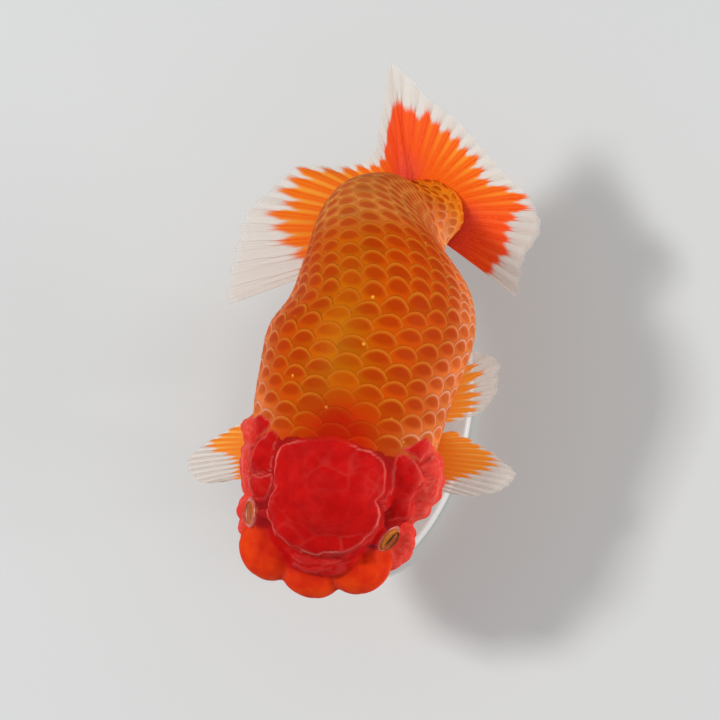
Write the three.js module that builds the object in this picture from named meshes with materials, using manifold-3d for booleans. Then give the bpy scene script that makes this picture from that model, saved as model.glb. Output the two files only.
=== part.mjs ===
// Ranchu goldfish: a still, life-size display model held over a plain base by two rods.
// Millimetres, +Z up. The head points along -Y and the fish's left side along +X. The floor
// is Z = 0 and the origin is the middle of the underside of the base.
// Lengths inside the fish group are measured from the level of the body's greatest width.
import * as THREE from "three";
import { mergeVertices } from "three/addons/utils/BufferGeometryUtils.js";
import Module from "manifold-3d";

const GAP = 0.3; // clear space between two pieces that meet
const LEFT = 1; // sign of x on the fish's left side
const RIGHT = -1;

// Where the fish hangs over the middle of the base.
const FISH_X = -2.5;
const FISH_Z = 66;

// Stand
const BASE_LENGTH = 90;
const BASE_WIDTH = 52;
const BASE_HEIGHT = 6;
const BASE_BEVEL = 1;
const ROD_RADIUS = 2.6;
const ROD_FRONT_Y = -20;
const ROD_REAR_Y = 16;
const ROD_SEGMENTS = 14;

// One station of the body is a cross-section square to the spine: the middle of the section,
// its half width, its reach above and below the middle, how far it leans back and rolls
// (degrees), and how much its upper half narrows towards the ridge.
const STATION = ["x", "y", "z", "width", "up", "down", "lean", "roll", "crest"];
const BODY_STATIONS = [
  [0.4, -52.5, -7.0, 10.0, 9.0, 9.5, 0, 0, 0.0],
  [0.6, -48.5, -6.5, 12.0, 10.5, 12.0, 0, 0, 0.0],
  [0.9, -44.0, -5.5, 14.5, 14.0, 15.0, 0, 0, 0.0],
  [1.1, -37.0, -4.2, 16.6, 17.5, 19.0, 0, 0, 0.0],
  [1.4, -29.0, -3.0, 19.5, 21.5, 22.5, 0, 0, 0.0],
  [1.8, -20.0, -2.0, 22.6, 24.5, 25.5, 0, 0, 0.02],
  [2.0, -11.0, -1.5, 24.1, 27.0, 28.0, 0, 0, 0.03],
  [2.5, -1.0, -1.0, 24.9, 29.0, 29.5, 0, 0, 0.04],
  [3.6, 9.0, -1.0, 25.8, 30.0, 30.0, 0, 0, 0.05],
  [5.7, 17.0, -1.5, 24.3, 29.7, 29.0, 3, 0, 0.1],
  [5.3, 26.2, -3.5, 22.2, 28.6, 26.0, 20, -9, 0.1],
  [3.8, 32.6, -6.5, 18.8, 26.0, 21.0, 36, -21, 0.09],
  [4.7, 36.2, -9.8, 14.6, 21.8, 15.5, 48, -20, 0.13],
  [5.9, 41.4, -13.0, 12.2, 17.2, 11.0, 45, -19, 0.15],
  [8.8, 46.6, -15.3, 12.5, 12.1, 8.6, 30, -19, 0.1],
  [9.5, 51.0, -15.8, 10.8, 9.0, 7.6, 15, -20, 0.04],
  [10.0, 56.5, -15.6, 8.8, 7.5, 6.8, 0, -20, 0.0],
];
const BELLY_LEAN = 0.3; // share of a section's lean that its lower edge takes
const BODY_AROUND = 30;
const BODY_ALONG = 25;
const BODY_CAP_RINGS = 3; // rings that round off each end of the body

// Cuts that part the body into head, trunk and tail root.
const HEAD_REAR_Y = -15;
const TRUNK_MIDDLE_Y = 12;
const ROOT_CUT = { y: 51.5, z: -4.5, tilt: -38 };
const CUTTER = 160;

// Eyes
const EYE_RADIUS = 3.7;
const EYE_OUT = 15.9;
const EYE_Y = -37.5;
const EYE_Z = 1.6;
const EYE_MIDDLE_X = 0.7;
const EYE_SEGMENTS = 12;

// Red-cap growth of the head. Each growth is one solid swollen out of balls [x, y, z, radius].
const GROWTHS = {
  crown: {
    centre: [2.6, -31.5, 9],
    balls: [
      [3.6, -29.0, 12.0, 12.4],
      [-6.6, -23.6, 11.5, 6.6],
      [10.6, -22.6, 11.5, 7.0],
      [-6.6, -32.6, 11.0, 6.6],
      [-3.6, -39.0, 9.6, 6.4],
      [1.6, -41.0, 8.6, 6.6],
      [8.0, -39.6, 8.8, 6.6],
      [11.0, -34.0, 10.4, 6.4],
      [11.4, -28.0, 11.2, 6.4],
    ],
    around: 22,
    along: 13,
  },
  temple_left: {
    centre: [18.0, -22.5, 4],
    balls: [
      [18.0, -20.4, 6.0, 6.4],
      [17.8, -28.6, 3.6, 5.4],
      [21.4, -17.6, 0.6, 6.2],
    ],
    around: 14,
    along: 8,
  },
  temple_right: {
    centre: [-15.0, -24.0, 4],
    balls: [
      [-14.8, -22.8, 6.0, 6.0],
      [-13.8, -29.4, 4.0, 5.2],
      [-17.6, -17.4, 1.0, 6.0],
    ],
    around: 14,
    along: 8,
  },
  gill_cover_left: {
    centre: [19.5, -21.0, -6],
    balls: [
      [22.2, -22.6, -4.0, 6.4],
      [20.6, -27.8, -4.6, 6.0],
      [20.4, -18.0, -9.0, 7.6],
      [15.6, -24.0, -15.0, 8.0],
    ],
    around: 14,
    along: 9,
  },
  gill_cover_right: {
    centre: [-15.9, -21.0, -6],
    balls: [
      [-17.0, -24.0, -3.6, 6.4],
      [-16.2, -29.4, -4.4, 6.0],
      [-15.6, -17.8, -9.0, 7.4],
      [-12.0, -24.0, -15.0, 8.0],
    ],
    around: 14,
    along: 9,
  },
  cheek_left: {
    centre: [17.6, -36.6, -8],
    balls: [
      [19.4, -36.8, -5.6, 5.4],
      [17.4, -40.6, -8.4, 6.0],
      [16.4, -34.6, -12.0, 6.4],
    ],
    around: 14,
    along: 8,
  },
  cheek_right: {
    centre: [-15.4, -37.0, -8],
    balls: [
      [-17.0, -36.6, -5.2, 5.2],
      [-15.2, -41.0, -8.0, 6.0],
      [-14.4, -34.8, -12.0, 6.4],
    ],
    around: 14,
    along: 8,
  },
  snout_left: {
    centre: [11.6, -45.6, -2.6],
    balls: [
      [11.0, -46.6, -2.8, 6.8],
      [14.4, -43.2, -2.0, 5.4],
    ],
    around: 14,
    along: 8,
  },
  snout_right: {
    centre: [-11.4, -45.6, -2.6],
    balls: [
      [-10.6, -47.2, -2.8, 6.6],
      [-13.8, -43.4, -2.0, 5.6],
    ],
    around: 14,
    along: 8,
  },
  snout_middle: {
    centre: [1.4, -47.2, 0],
    balls: [
      [0.8, -49.8, -3.4, 5.8],
      [-3.4, -49.0, -3.6, 5.0],
      [3.8, -48.8, -3.2, 4.8],
      [-1.6, -45.4, 3.8, 4.8],
      [3.2, -46.2, 4.0, 5.0],
      [7.2, -44.4, 4.4, 4.6],
    ],
    around: 13,
    along: 8,
  },
  upper_lip: {
    centre: [0.2, -51.8, -9.4],
    balls: [
      [0.2, -52.4, -9.2, 3.4],
      [-3.0, -51.0, -9.8, 2.9],
      [3.4, -51.0, -9.8, 2.9],
    ],
    around: 10,
    along: 6,
  },
  lower_jaw: {
    centre: [0.3, -47.6, -14.6],
    balls: [
      [0.3, -48.6, -14.4, 4.2],
      [-4.0, -45.6, -15.2, 4.6],
      [4.6, -45.6, -15.2, 4.6],
    ],
    around: 10,
    along: 6,
  },
};
const GROWTH_SOFTNESS = 1.1; // how far the creases between two balls are filled

// Fins. Thickness at root and rim, and the extra height of a ray's rib on each face.
const FIN_ROOT = 1.3;
const FIN_RIM = 0.6;
const FIN_RIB = 0.14;

// Both halves of the tail fan out of the tail root. A rim entry is the bearing round the
// root (degrees from straight back towards the fish's left), the reach and the height.
const TAIL_MIDDLE = { x: 9.5, y: 46.5 };
const TAIL_ROOT = { across: 6.6, along: 6.2, high: -9.5, low: -19.5 };
const TAIL_LEFT = {
  root: [-24, 132],
  rays: 12,
  rows: 4,
  bow: 1.6,
  rim: [
    [-20.5, 36.4, 8],
    [-4, 28.2, 0],
    [14, 25.0, -5],
    [33, 23.4, -9],
    [56, 24.2, -11],
    [73, 29.4, -13],
    [88, 31.4, -14],
    [104, 29.4, -17],
    [120, 33.0, -20],
  ],
};
const TAIL_RIGHT = {
  root: [-26, -164],
  rays: 12,
  rows: 4,
  bow: 1.6,
  rim: [
    [-20.8, 36.6, 8.4],
    [-36, 24.0, -6],
    [-51, 20.8, -16],
    [-65, 25.4, -19],
    [-77, 35.6, -18],
    [-89, 41.0, -17],
    [-99, 46.4, -16],
    [-111, 50.6, -17],
    [-124, 56.6, -20],
  ],
};
const TAIL_LOBE_CUT = 0.5; // share of the rays that belongs to the upper lobe
const TAIL_LOBE_SLIT = 0.008; // share of the rim left open between the two lobes

// Paired fins. Root ends and tips are [x, y, z] on the fish's left; side -1 mirrors them.
const PAIRED_FINS = {
  pectoral_fin_left: {
    side: LEFT,
    root: [[22, -22.4, -13.4], [22, -9.6, -14.6]],
    rim: [[31, -23.0, -15], [38.6, -21.6, -16], [44.2, -18.2, -17], [45.4, -14.6, -17.6],
      [41.4, -11.6, -17.4], [34.6, -8.8, -16.6], [28, -6.6, -15.6]],
    rays: 7,
    rows: 3,
    bow: 1.2,
  },
  pectoral_fin_right: {
    side: RIGHT,
    root: [[19, -27.4, -13.4], [19, -14.0, -14.6]],
    rim: [[27.6, -30.0, -15], [33.8, -31.2, -16], [37.6, -29.0, -17], [38.6, -26.0, -17.6],
      [35.8, -21.8, -17.4], [31.0, -17.6, -16.6], [25, -13.2, -15.6]],
    rays: 7,
    rows: 3,
    bow: 1.2,
  },
  pelvic_fin_left: {
    side: LEFT,
    root: [[17, -6.0, -23.5], [15.5, 4.0, -26]],
    rim: [[26, -3.4, -27.4], [32.6, 0.4, -29.4], [35.6, 4.8, -31], [36.4, 10.4, -32.4],
      [34.6, 16.4, -33.6], [27, 17.4, -33]],
    rays: 6,
    rows: 3,
    bow: 0.8,
  },
  pelvic_fin_right: {
    side: RIGHT,
    root: [[10, -5.0, -27.5], [7, 4.0, -29]],
    rim: [[14.4, 1.4, -33.6], [17.6, 8.6, -37], [18.4, 14.6, -39], [16.6, 19.2, -40],
      [13, 20.8, -39.4], [9.4, 19.6, -37.6]],
    rays: 6,
    rows: 3,
    bow: 0.8,
  },
  anal_fin_left: {
    side: LEFT,
    root: [[10, 33.0, -22], [12, 39.6, -20.6]],
    rim: [[11.6, 38.4, -31], [13.2, 43.4, -34.6], [14.6, 48.4, -34.6], [14.6, 49.4, -30],
      [13.8, 46.6, -25.6]],
    rays: 4,
    rows: 3,
    bow: 0.5,
  },
  anal_fin_right: {
    side: RIGHT,
    root: [[-2.4, 33.0, -22.4], [-2.8, 39.6, -21]],
    rim: [[-0.6, 38.2, -31.4], [0.6, 43.0, -35], [1.4, 47.8, -35], [1, 49, -30.4],
      [-0.8, 46.6, -26]],
    rays: 4,
    rows: 3,
    bow: 0.5,
  },
};

const FINISHES = {
  crown: { color: 0xc01a18, roughness: 0.5 },
  growth: { color: 0xc8242a, roughness: 0.5 },
  snout: { color: 0xdc3c14, roughness: 0.42 },
  body: { color: 0xd8661c, roughness: 0.42 },
  root: { color: 0xe8901c, roughness: 0.42 },
  fin: { color: 0xf06a14, roughness: 0.4 },
  eye: { color: 0xb8862c, roughness: 0.1 },
  base: { color: 0xd9d7d2, roughness: 0.6 },
  rod: { color: 0xb4b6b8, roughness: 0.3, metalness: 1 },
};

const wasm = await Module();
wasm.setup();

// A three.js geometry as a solid that can be joined and cut.
function solidOf(geometry) {
  const plain = geometry.clone();
  plain.deleteAttribute("normal");
  plain.deleteAttribute("uv");
  const merged = mergeVertices(plain, 1e-4);
  return new wasm.Manifold(
    new wasm.Mesh({
      numProp: 3,
      vertProperties: merged.attributes.position.array,
      triVerts: new Uint32Array(merged.index.array),
    }),
  );
}

// A joined or cut solid as a named mesh in one of the finishes.
function meshOf(name, solid, finish) {
  const { vertProperties, triVerts } = solid.getMesh();
  const geometry = new THREE.BufferGeometry();
  geometry.setAttribute("position", new THREE.BufferAttribute(vertProperties, 3));
  geometry.setIndex(new THREE.BufferAttribute(triVerts, 1));
  geometry.computeVertexNormals();
  const material = new THREE.MeshStandardMaterial({ metalness: 0, ...FINISHES[finish] });
  const mesh = new THREE.Mesh(geometry, material);
  mesh.name = name;
  return mesh;
}

// Moves every vertex of a geometry to the point that `place` gives for it and its uv.
function reshape(geometry, place) {
  const { position, uv } = geometry.attributes;
  const at = new THREE.Vector3();
  for (let i = 0; i < position.count; i += 1) {
    at.fromBufferAttribute(position, i);
    const to = place(at, uv.getX(i), uv.getY(i));
    position.setXYZ(i, to.x, to.y, to.z);
  }
  return geometry;
}

// The largest body of a solid that a cut may have left in several.
function largestOf(solid) {
  const bodies = solid.decompose();
  return bodies.reduce((best, next) => (next.volume() > best.volume() ? next : best));
}

const stationTrack = new THREE.CubicInterpolant(
  BODY_STATIONS.map((_, index) => index),
  BODY_STATIONS.flat(),
  STATION.length,
);

// The cross-section at a place along the spine, counted in stations.
function stationAt(place) {
  const values = stationTrack.evaluate(place);
  return Object.fromEntries(STATION.map((name, index) => [name, values[index]]));
}

// Place along the spine, and how far the rounded ends are drawn in there, for a share of the
// rings counted from the nose.
function ringAt(share) {
  const last = BODY_STATIONS.length - 1;
  const cap = BODY_CAP_RINGS / BODY_ALONG;
  const edge = Math.min(share, 1 - share) / cap;
  if (edge >= 1) {
    return { place: 1 + ((share - cap) / (1 - 2 * cap)) * (last - 2), draw: 1 };
  }
  const turn = edge * (Math.PI / 2);
  const inward = 1 - Math.cos(turn);
  return { place: share < cap ? inward : last - inward, draw: Math.sin(turn) };
}

// The whole body from nose to tail root, grown outwards by `grow`.
function bodySolid(grow) {
  const sphere = new THREE.SphereGeometry(1, BODY_AROUND, BODY_ALONG);
  const last = BODY_STATIONS.length - 1;
  return solidOf(
    reshape(sphere, (_, around, rest) => {
      const { place, draw } = ringAt(1 - rest);
      const at = stationAt(place);
      const turn = -around * 2 * Math.PI;
      const height = Math.cos(turn);
      const reach = (height > 0 ? at.up : at.down) + grow;
      const narrow = 1 - at.crest * Math.max(0, height);
      const share = THREE.MathUtils.lerp(BELLY_LEAN, 1, (1 + height) / 2);
      const lean = THREE.MathUtils.degToRad(at.lean * share);
      const offset = new THREE.Vector3(
        Math.sin(turn) * (at.width + grow) * narrow * draw,
        height * reach * draw * Math.sin(lean),
        height * reach * draw * Math.cos(lean),
      );
      offset.applyAxisAngle(new THREE.Vector3(0, 1, 0), THREE.MathUtils.degToRad(at.roll));
      const ends = place < 1 ? place - 1 : Math.max(0, place - last + 1);
      return offset.add(new THREE.Vector3(at.x, at.y + ends * grow, at.z));
    }),
  );
}

// Distance from the centre of a growth to its skin in one direction: the farthest ball hit,
// with the creases between balls filled a little.
function growthReach(direction, centre, balls, grow) {
  const hits = balls.map(([x, y, z, radius]) => {
    const offset = new THREE.Vector3(x, y, z).sub(centre);
    const along = direction.dot(offset);
    const inside = (radius + grow) ** 2 - offset.lengthSq() + along ** 2;
    return inside > 0 ? along + Math.sqrt(inside) : 0;
  });
  const farthest = Math.max(...hits);
  const shares = hits.map((hit) => Math.exp((hit - farthest) / GROWTH_SOFTNESS));
  const sum = shares.reduce((total, share) => total + share, 0);
  return farthest + GROWTH_SOFTNESS * Math.log(sum);
}

// One growth of the head, grown outwards by `grow`.
function growthSolid({ centre, balls, around, along }, grow) {
  const middle = new THREE.Vector3(...centre);
  const sphere = new THREE.SphereGeometry(1, around, along);
  return solidOf(
    reshape(sphere, (direction) => {
      const reach = growthReach(direction, middle, balls, grow);
      return direction.clone().multiplyScalar(reach).add(middle);
    }),
  );
}

// A fin as a ribbed sheet between two curves: `root` at the body and `rim` at the margin.
function finSolid({ root, rim, rays, rows, bow, from = 0, to = 1 }) {
  const columns = 2 * Math.round(rays * (to - from));
  const box = new THREE.BoxGeometry(1, 1, 1, columns, rows, 1);
  const middleAt = (t, s) => {
    const start = root.getPoint(t);
    const point = start.clone().lerp(rim.getPoint(t), s);
    return point.add(new THREE.Vector3(0, 0, 4 * bow * s * (1 - s)));
  };
  const step = 1e-3;
  return solidOf(
    reshape(box, (at) => {
      const share = at.x + 0.5;
      const t = THREE.MathUtils.lerp(from, to, share);
      const s = at.y + 0.5;
      const across = middleAt(Math.min(1, t + step), s).sub(middleAt(Math.max(0, t - step), s));
      const outward = middleAt(t, Math.min(1, s + step)).sub(middleAt(t, Math.max(0, s - step)));
      const normal = across.cross(outward).normalize();
      const rib = Math.round(share * columns) % 2 === 1 ? FIN_RIB : 0;
      const thickness = THREE.MathUtils.lerp(FIN_ROOT, FIN_RIM, Math.sqrt(s)) + 2 * rib;
      return middleAt(t, s).addScaledVector(normal, at.z * thickness);
    }),
  );
}

// The two curves of one half of the tail.
function tailCurves({ root, rim }) {
  const round = (bearing, reach, width, depth, height) => {
    const angle = THREE.MathUtils.degToRad(bearing);
    const x = TAIL_MIDDLE.x + Math.sin(angle) * reach * width;
    const y = TAIL_MIDDLE.y + Math.cos(angle) * reach * depth;
    return new THREE.Vector3(x, y, height);
  };
  const steps = rim.length - 1;
  const inner = rim.map((_, index) => {
    const share = index / steps;
    const bearing = THREE.MathUtils.lerp(root[0], root[1], share);
    const height = THREE.MathUtils.lerp(TAIL_ROOT.high, TAIL_ROOT.low, share);
    return round(bearing, 1, TAIL_ROOT.across, TAIL_ROOT.along, height);
  });
  const outer = rim.map(([bearing, reach, height]) => round(bearing, reach, 1, 1, height));
  return {
    root: new THREE.CatmullRomCurve3(inner),
    rim: new THREE.CatmullRomCurve3(outer),
  };
}

// The two curves of a paired fin on its own side of the fish.
function pairedCurves({ side, root, rim }) {
  const points = (list) => list.map(([x, y, z]) => new THREE.Vector3(side * x, y, z));
  return {
    root: new THREE.CatmullRomCurve3(points(root)),
    rim: new THREE.CatmullRomCurve3(points(rim)),
  };
}

// A large box that keeps one side of a cut: its near face passes through y, z.
function keepBox(y, z, tilt, way) {
  const box = new THREE.BoxGeometry(CUTTER, CUTTER, CUTTER);
  box.translate(0, way * (CUTTER / 2 + GAP / 2), 0);
  box.rotateX(THREE.MathUtils.degToRad(tilt));
  box.translate(0, y, z);
  return solidOf(box);
}

const fish = new THREE.Group();
fish.name = "fish";
fish.position.set(FISH_X, 0, FISH_Z);

// What later pieces must keep clear of: every earlier piece, grown by the gap.
let taken = null;
function claim(grown) {
  taken = taken ? taken.add(grown) : grown;
}

// Eyes sit in sockets that the head and its growths leave free.
[LEFT, RIGHT].forEach((side) => {
  const at = [EYE_MIDDLE_X + side * EYE_OUT, EYE_Y, EYE_Z];
  const ball = (grow) => {
    const sphere = new THREE.SphereGeometry(EYE_RADIUS + grow, EYE_SEGMENTS, EYE_SEGMENTS / 2);
    return solidOf(sphere.translate(...at));
  };
  fish.add(meshOf(side === LEFT ? "eye_left" : "eye_right", ball(0), "eye"));
  claim(ball(GAP));
});

const body = bodySolid(0).subtract(taken);
const grownBody = bodySolid(GAP);
const headFront = body.intersect(keepBox(HEAD_REAR_Y, 0, 0, -1));
const trunkFront = body
  .intersect(keepBox(HEAD_REAR_Y, 0, 0, 1))
  .intersect(keepBox(TRUNK_MIDDLE_Y, 0, 0, -1));
const behind = body.intersect(keepBox(TRUNK_MIDDLE_Y, 0, 0, 1));
const trunkRear = behind.intersect(keepBox(ROOT_CUT.y, ROOT_CUT.z, ROOT_CUT.tilt, -1));
const tailRoot = behind.intersect(keepBox(ROOT_CUT.y, ROOT_CUT.z, ROOT_CUT.tilt, 1));
fish.add(meshOf("head", largestOf(headFront), "growth"));
fish.add(meshOf("trunk_front", largestOf(trunkFront), "body"));
fish.add(meshOf("trunk_rear", largestOf(trunkRear), "body"));
fish.add(meshOf("tail_root", largestOf(tailRoot), "root"));
claim(grownBody);

Object.entries(GROWTHS).forEach(([name, growth]) => {
  const finish = { crown: "crown", snout: "snout" }[name.split("_")[0]] ?? "growth";
  const cut = growthSolid(growth, 0).subtract(taken);
  fish.add(meshOf(name, largestOf(cut), finish));
  claim(growthSolid(growth, GAP));
});

Object.entries(PAIRED_FINS).forEach(([name, fin]) => {
  const made = finSolid({ ...fin, ...pairedCurves(fin) });
  fish.add(meshOf(name, largestOf(made.subtract(taken)), "fin"));
  claim(made);
});

Object.entries({ left: TAIL_LEFT, right: TAIL_RIGHT }).forEach(([side, half]) => {
  const curves = tailCurves(half);
  const lobes = {
    upper: { from: 0, to: TAIL_LOBE_CUT },
    lower: { from: TAIL_LOBE_CUT + TAIL_LOBE_SLIT, to: 1 },
  };
  Object.entries(lobes).forEach(([lobe, range]) => {
    const made = finSolid({ ...half, ...curves, ...range });
    fish.add(meshOf(`tail_${lobe}_lobe_${side}`, largestOf(made.subtract(taken)), "fin"));
  });
  claim(finSolid({ ...half, ...curves }));
});

// Stand: an oval base and two rods that end just under the belly.
const stand = new THREE.Group();
stand.name = "stand";
const oval = new THREE.Shape();
oval.absellipse(
  0,
  0,
  BASE_WIDTH / 2 - BASE_BEVEL,
  BASE_LENGTH / 2 - BASE_BEVEL,
  0,
  2 * Math.PI,
);
const slab = new THREE.ExtrudeGeometry(oval, {
  depth: BASE_HEIGHT - 2 * BASE_BEVEL,
  bevelThickness: BASE_BEVEL,
  bevelSize: BASE_BEVEL,
  bevelSegments: 1,
  curveSegments: 15,
});
stand.add(meshOf("stand_base", solidOf(slab.translate(0, 0, BASE_BEVEL)), "base"));

const shelter = grownBody.translate([FISH_X, 0, FISH_Z]);
Object.entries({ front: ROD_FRONT_Y, rear: ROD_REAR_Y }).forEach(([name, y]) => {
  const length = FISH_Z - BASE_HEIGHT - GAP;
  const rod = new THREE.CylinderGeometry(ROD_RADIUS, ROD_RADIUS, length, ROD_SEGMENTS, 1);
  rod.rotateX(Math.PI / 2);
  rod.translate(0, y, BASE_HEIGHT + GAP + length / 2);
  const cut = solidOf(rod).subtract(shelter);
  stand.add(meshOf(`stand_rod_${name}`, largestOf(cut), "rod"));
});

const group = new THREE.Group();
group.name = "ranchu_goldfish";
group.add(fish, stand);

export default group;
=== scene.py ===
"""Ranchu goldfish on a display stand: skin, scales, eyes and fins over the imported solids.

Lengths in the shape classes are millimetres in the fish's own frame: x towards the fish's left,
y towards its tail and z up, from the level of the body's greatest width. `to_row` turns such
points into the row frame's metres.
"""

import logging
import math
from dataclasses import dataclass, field
from enum import Enum
from itertools import product

import bmesh
import bpy
import numpy as np
from mathutils import Matrix, Vector


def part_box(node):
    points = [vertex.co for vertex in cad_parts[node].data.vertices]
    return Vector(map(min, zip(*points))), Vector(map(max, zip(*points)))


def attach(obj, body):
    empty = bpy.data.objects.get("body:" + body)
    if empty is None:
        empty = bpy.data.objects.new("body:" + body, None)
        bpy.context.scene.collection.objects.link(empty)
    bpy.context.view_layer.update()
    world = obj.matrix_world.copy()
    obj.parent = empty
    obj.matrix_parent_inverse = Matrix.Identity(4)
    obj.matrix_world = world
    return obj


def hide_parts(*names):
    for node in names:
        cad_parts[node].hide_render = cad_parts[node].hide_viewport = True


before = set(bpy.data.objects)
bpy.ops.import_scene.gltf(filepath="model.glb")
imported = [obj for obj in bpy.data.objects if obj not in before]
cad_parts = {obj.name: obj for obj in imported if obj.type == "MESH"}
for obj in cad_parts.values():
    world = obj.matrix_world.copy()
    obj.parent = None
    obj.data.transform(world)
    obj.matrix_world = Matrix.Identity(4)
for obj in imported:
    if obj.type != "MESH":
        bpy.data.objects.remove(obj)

log = logging.getLogger("ranchu")

Array = np.ndarray
Piece = bpy.types.Object
Finish = bpy.types.Material
Tree = bpy.types.NodeTree
Node = bpy.types.Node
Socket = bpy.types.NodeSocket
Faces = list[tuple[int, ...]]
Spot = tuple[float, float]
Rows = tuple[tuple[float, ...], ...]

MM = 0.001
FISH_AT = np.array([-2.5, 0.0, 66.0])
UP = np.array([0.0, 0.0, 1.0])
MARGIN = 0.03  # free edge of the bake map
MIX_FACTORS = (73856093, 19349663, 83492791, 2654435)  # spread x, y, z and the seed apart
NEXT_FACTOR, NEXT_STEP, AXIS_STEP = 1103515245, 12345, 7919


# --------------------------------------------------------------------------- small helpers


def to_row(points: Array) -> Array:
    """Fish-frame millimetres as row-frame metres."""
    return (points + FISH_AT) * MM


def unit(vectors: Array) -> Array:
    """Vectors scaled to length one along the last axis."""
    return vectors / np.maximum(np.linalg.norm(vectors, axis=-1, keepdims=True), 1e-12)


def turns(count: int) -> Array:
    """Angles evenly round a circle."""
    return np.arange(count) / count * 2 * math.pi


def smoothstep(low: float, high: float, value: Array) -> Array:
    """Smooth ramp from 0 at low to 1 at high; the ends may be given either way round."""
    share = np.clip((value - low) / (high - low), 0.0, 1.0)
    return share * share * (3.0 - 2.0 * share)


def srgb(code: str) -> tuple[float, ...]:
    """Linear colour of an sRGB hex code such as "c01a18"."""
    parts = [int(code[i : i + 2], 16) / 255.0 for i in (0, 2, 4)]
    return *(p / 12.92 if p <= 0.04045 else ((p + 0.055) / 1.055) ** 2.4 for p in parts), 1.0


def scatter(cells: Array, seed: int) -> Array:
    """A repeatable random point in the unit cube for each integer cell.

    Args:
        cells: whole numbers, (n, 3).
        seed: changes the whole pattern.

    Returns:
        Points between 0 and 1, (n, 3).
    """
    factors = cells.astype(np.int64) * MIX_FACTORS[:3]
    mixed = factors[:, 0] ^ factors[:, 1] ^ factors[:, 2] ^ (seed * MIX_FACTORS[3])
    out = np.empty((len(cells), 3))
    for axis in range(3):
        mixed = (mixed * NEXT_FACTOR + NEXT_STEP + axis * AXIS_STEP) & 0x7FFFFFFF
        out[:, axis] = (mixed >> 8) % 65536 / 65535.0
    return out


def lobes(points: Array, size: float, seed: int) -> Array:
    """Distance to the nearest crease between rounded cells, as on a cauliflower.

    Args:
        points: (n, 3) in millimetres.
        size: cell spacing in millimetres.
        seed: changes the pattern.

    Returns:
        Millimetres (n,).
    """
    place = points / size
    cells = [np.floor(place) + shift for shift in product((-1, 0, 1), repeat=3)]
    gaps = [np.linalg.norm(cell + scatter(cell, seed) - place, axis=1) for cell in cells]
    nearest, second = np.partition(gaps, 1, axis=0)[:2]
    return (second - nearest) * 0.5 * size


def drift(points: Array, size: float, seed: int) -> Array:
    """Smooth random field between -1 and 1 with features of about the given size.

    Args:
        points: (n, 3) in millimetres.
        size: feature size in millimetres.
        seed: changes the pattern.

    Returns:
        One number for each point.
    """
    place = points / size
    base = np.floor(place)
    share = smoothstep(0.0, 1.0, place - base)
    total = np.zeros(len(points))
    for corner in product((0, 1), repeat=3):
        weight = np.prod(np.where(corner, share, 1.0 - share), axis=1)
        total += weight * scatter(base + corner, seed)[:, 1]
    return total * 2.0 - 1.0


def soft_top(values: Array, fill: float) -> Array:
    """The largest of several values (parts, n) for each point, rounded over `fill`."""
    top = values.max(0)
    return top + fill * np.log(np.exp((values - top) / fill).sum(0))


def grid_faces(rows: int, columns: int, closed: bool = False) -> Faces:
    """Quads of a grid of points stored row by row.

    Args:
        rows: points along.
        columns: points around.
        closed: whether the last row joins the first, and the last column too.

    Returns:
        Faces as tuples of point numbers.
    """
    at = lambda r, c: r % rows * columns + c % columns
    return [(at(r, c), at(r, c + 1), at(r + 1, c + 1), at(r + 1, c))
            for r in range(rows - (not closed)) for c in range(columns - (not closed))]


def capped_corners(rings: int, sides: int) -> list[tuple[Spot, ...]]:
    """Faces of a shape of rings between two poles, as (ring, side) corners.

    Args:
        rings: rings between the poles, which are ring 0 and ring `rings` + 1.
        sides: points in a ring.

    Returns:
        The corners of each face; the sides run on past the last one.
    """
    round_it = range(sides)
    return ([((0, c + 0.5), (1, c + 1), (1, c)) for c in round_it]
            + [((r, c), (r, c + 1), (r + 1, c + 1), (r + 1, c))
               for r in range(1, rings) for c in round_it]
            + [((rings, c), (rings, c + 1), (rings + 1, c + 0.5)) for c in round_it])


def capped_faces(rings: int, sides: int) -> Faces:
    """The same faces by point number, where each pole is one point."""
    last = 1 + rings * sides
    at = lambda r, c: {0: 0, rings + 1: last}.get(r, 1 + (r - 1) * sides + int(c) % sides)
    return [tuple(at(*corner) for corner in face) for face in capped_corners(rings, sides)]


def flipped(faces: Faces) -> Faces:
    """Faces seen from their other side, each from the same first point."""
    return [face[:1] + face[:0:-1] for face in faces]


def new_object(name: str, points: Array, faces: Faces, edges: Faces = (),
               smooth: bool = True) -> Piece:
    """A mesh object in the scene, at the origin, with its place in its mesh.

    Args:
        name: the piece's name.
        points: (n, 3) in row-frame metres.
        faces: tuples of point numbers.
        edges: pairs of point numbers, for lines without faces.
        smooth: whether the faces shade smoothly.

    Returns:
        The new object.
    """
    mesh = bpy.data.meshes.new(name)
    mesh.from_pydata(points.tolist(), edges, faces)
    mesh.update()
    if smooth:
        mesh.shade_smooth()
    return new_thing(name, mesh)


def new_thing(name: str, data: bpy.types.ID) -> Piece:
    """An object in the scene that holds a mesh, a lamp or a camera."""
    thing = bpy.data.objects.new(name, data)
    bpy.context.scene.collection.objects.link(thing)
    return thing


def store(piece: Piece, **values: Array) -> None:
    """Keeps numbers (n,) or vectors (n, 3) for the points of a mesh as named attributes.

    Args:
        piece: the object whose mesh gets them.
        values: the numbers or vectors by attribute name.
    """
    for name, value in values.items():
        kind, key = ("FLOAT_VECTOR", "vector") if np.ndim(value) > 1 else ("FLOAT", "value")
        layer = piece.data.attributes.new(name, kind, "POINT")
        layer.data.foreach_set(key, np.ascontiguousarray(value, np.float32).ravel())


def store_uv(piece: Piece, name: str, corners: Array) -> None:
    """Adds a UV map from one (u, v) for each face corner."""
    layer = piece.data.uv_layers.new(name=name)
    layer.data.foreach_set("uv", np.ascontiguousarray(corners, np.float32).ravel())


def corner_points(piece: Piece) -> Array:
    """Number of the point at each face corner."""
    return np.array([loop.vertex_index for loop in piece.data.loops])


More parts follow.
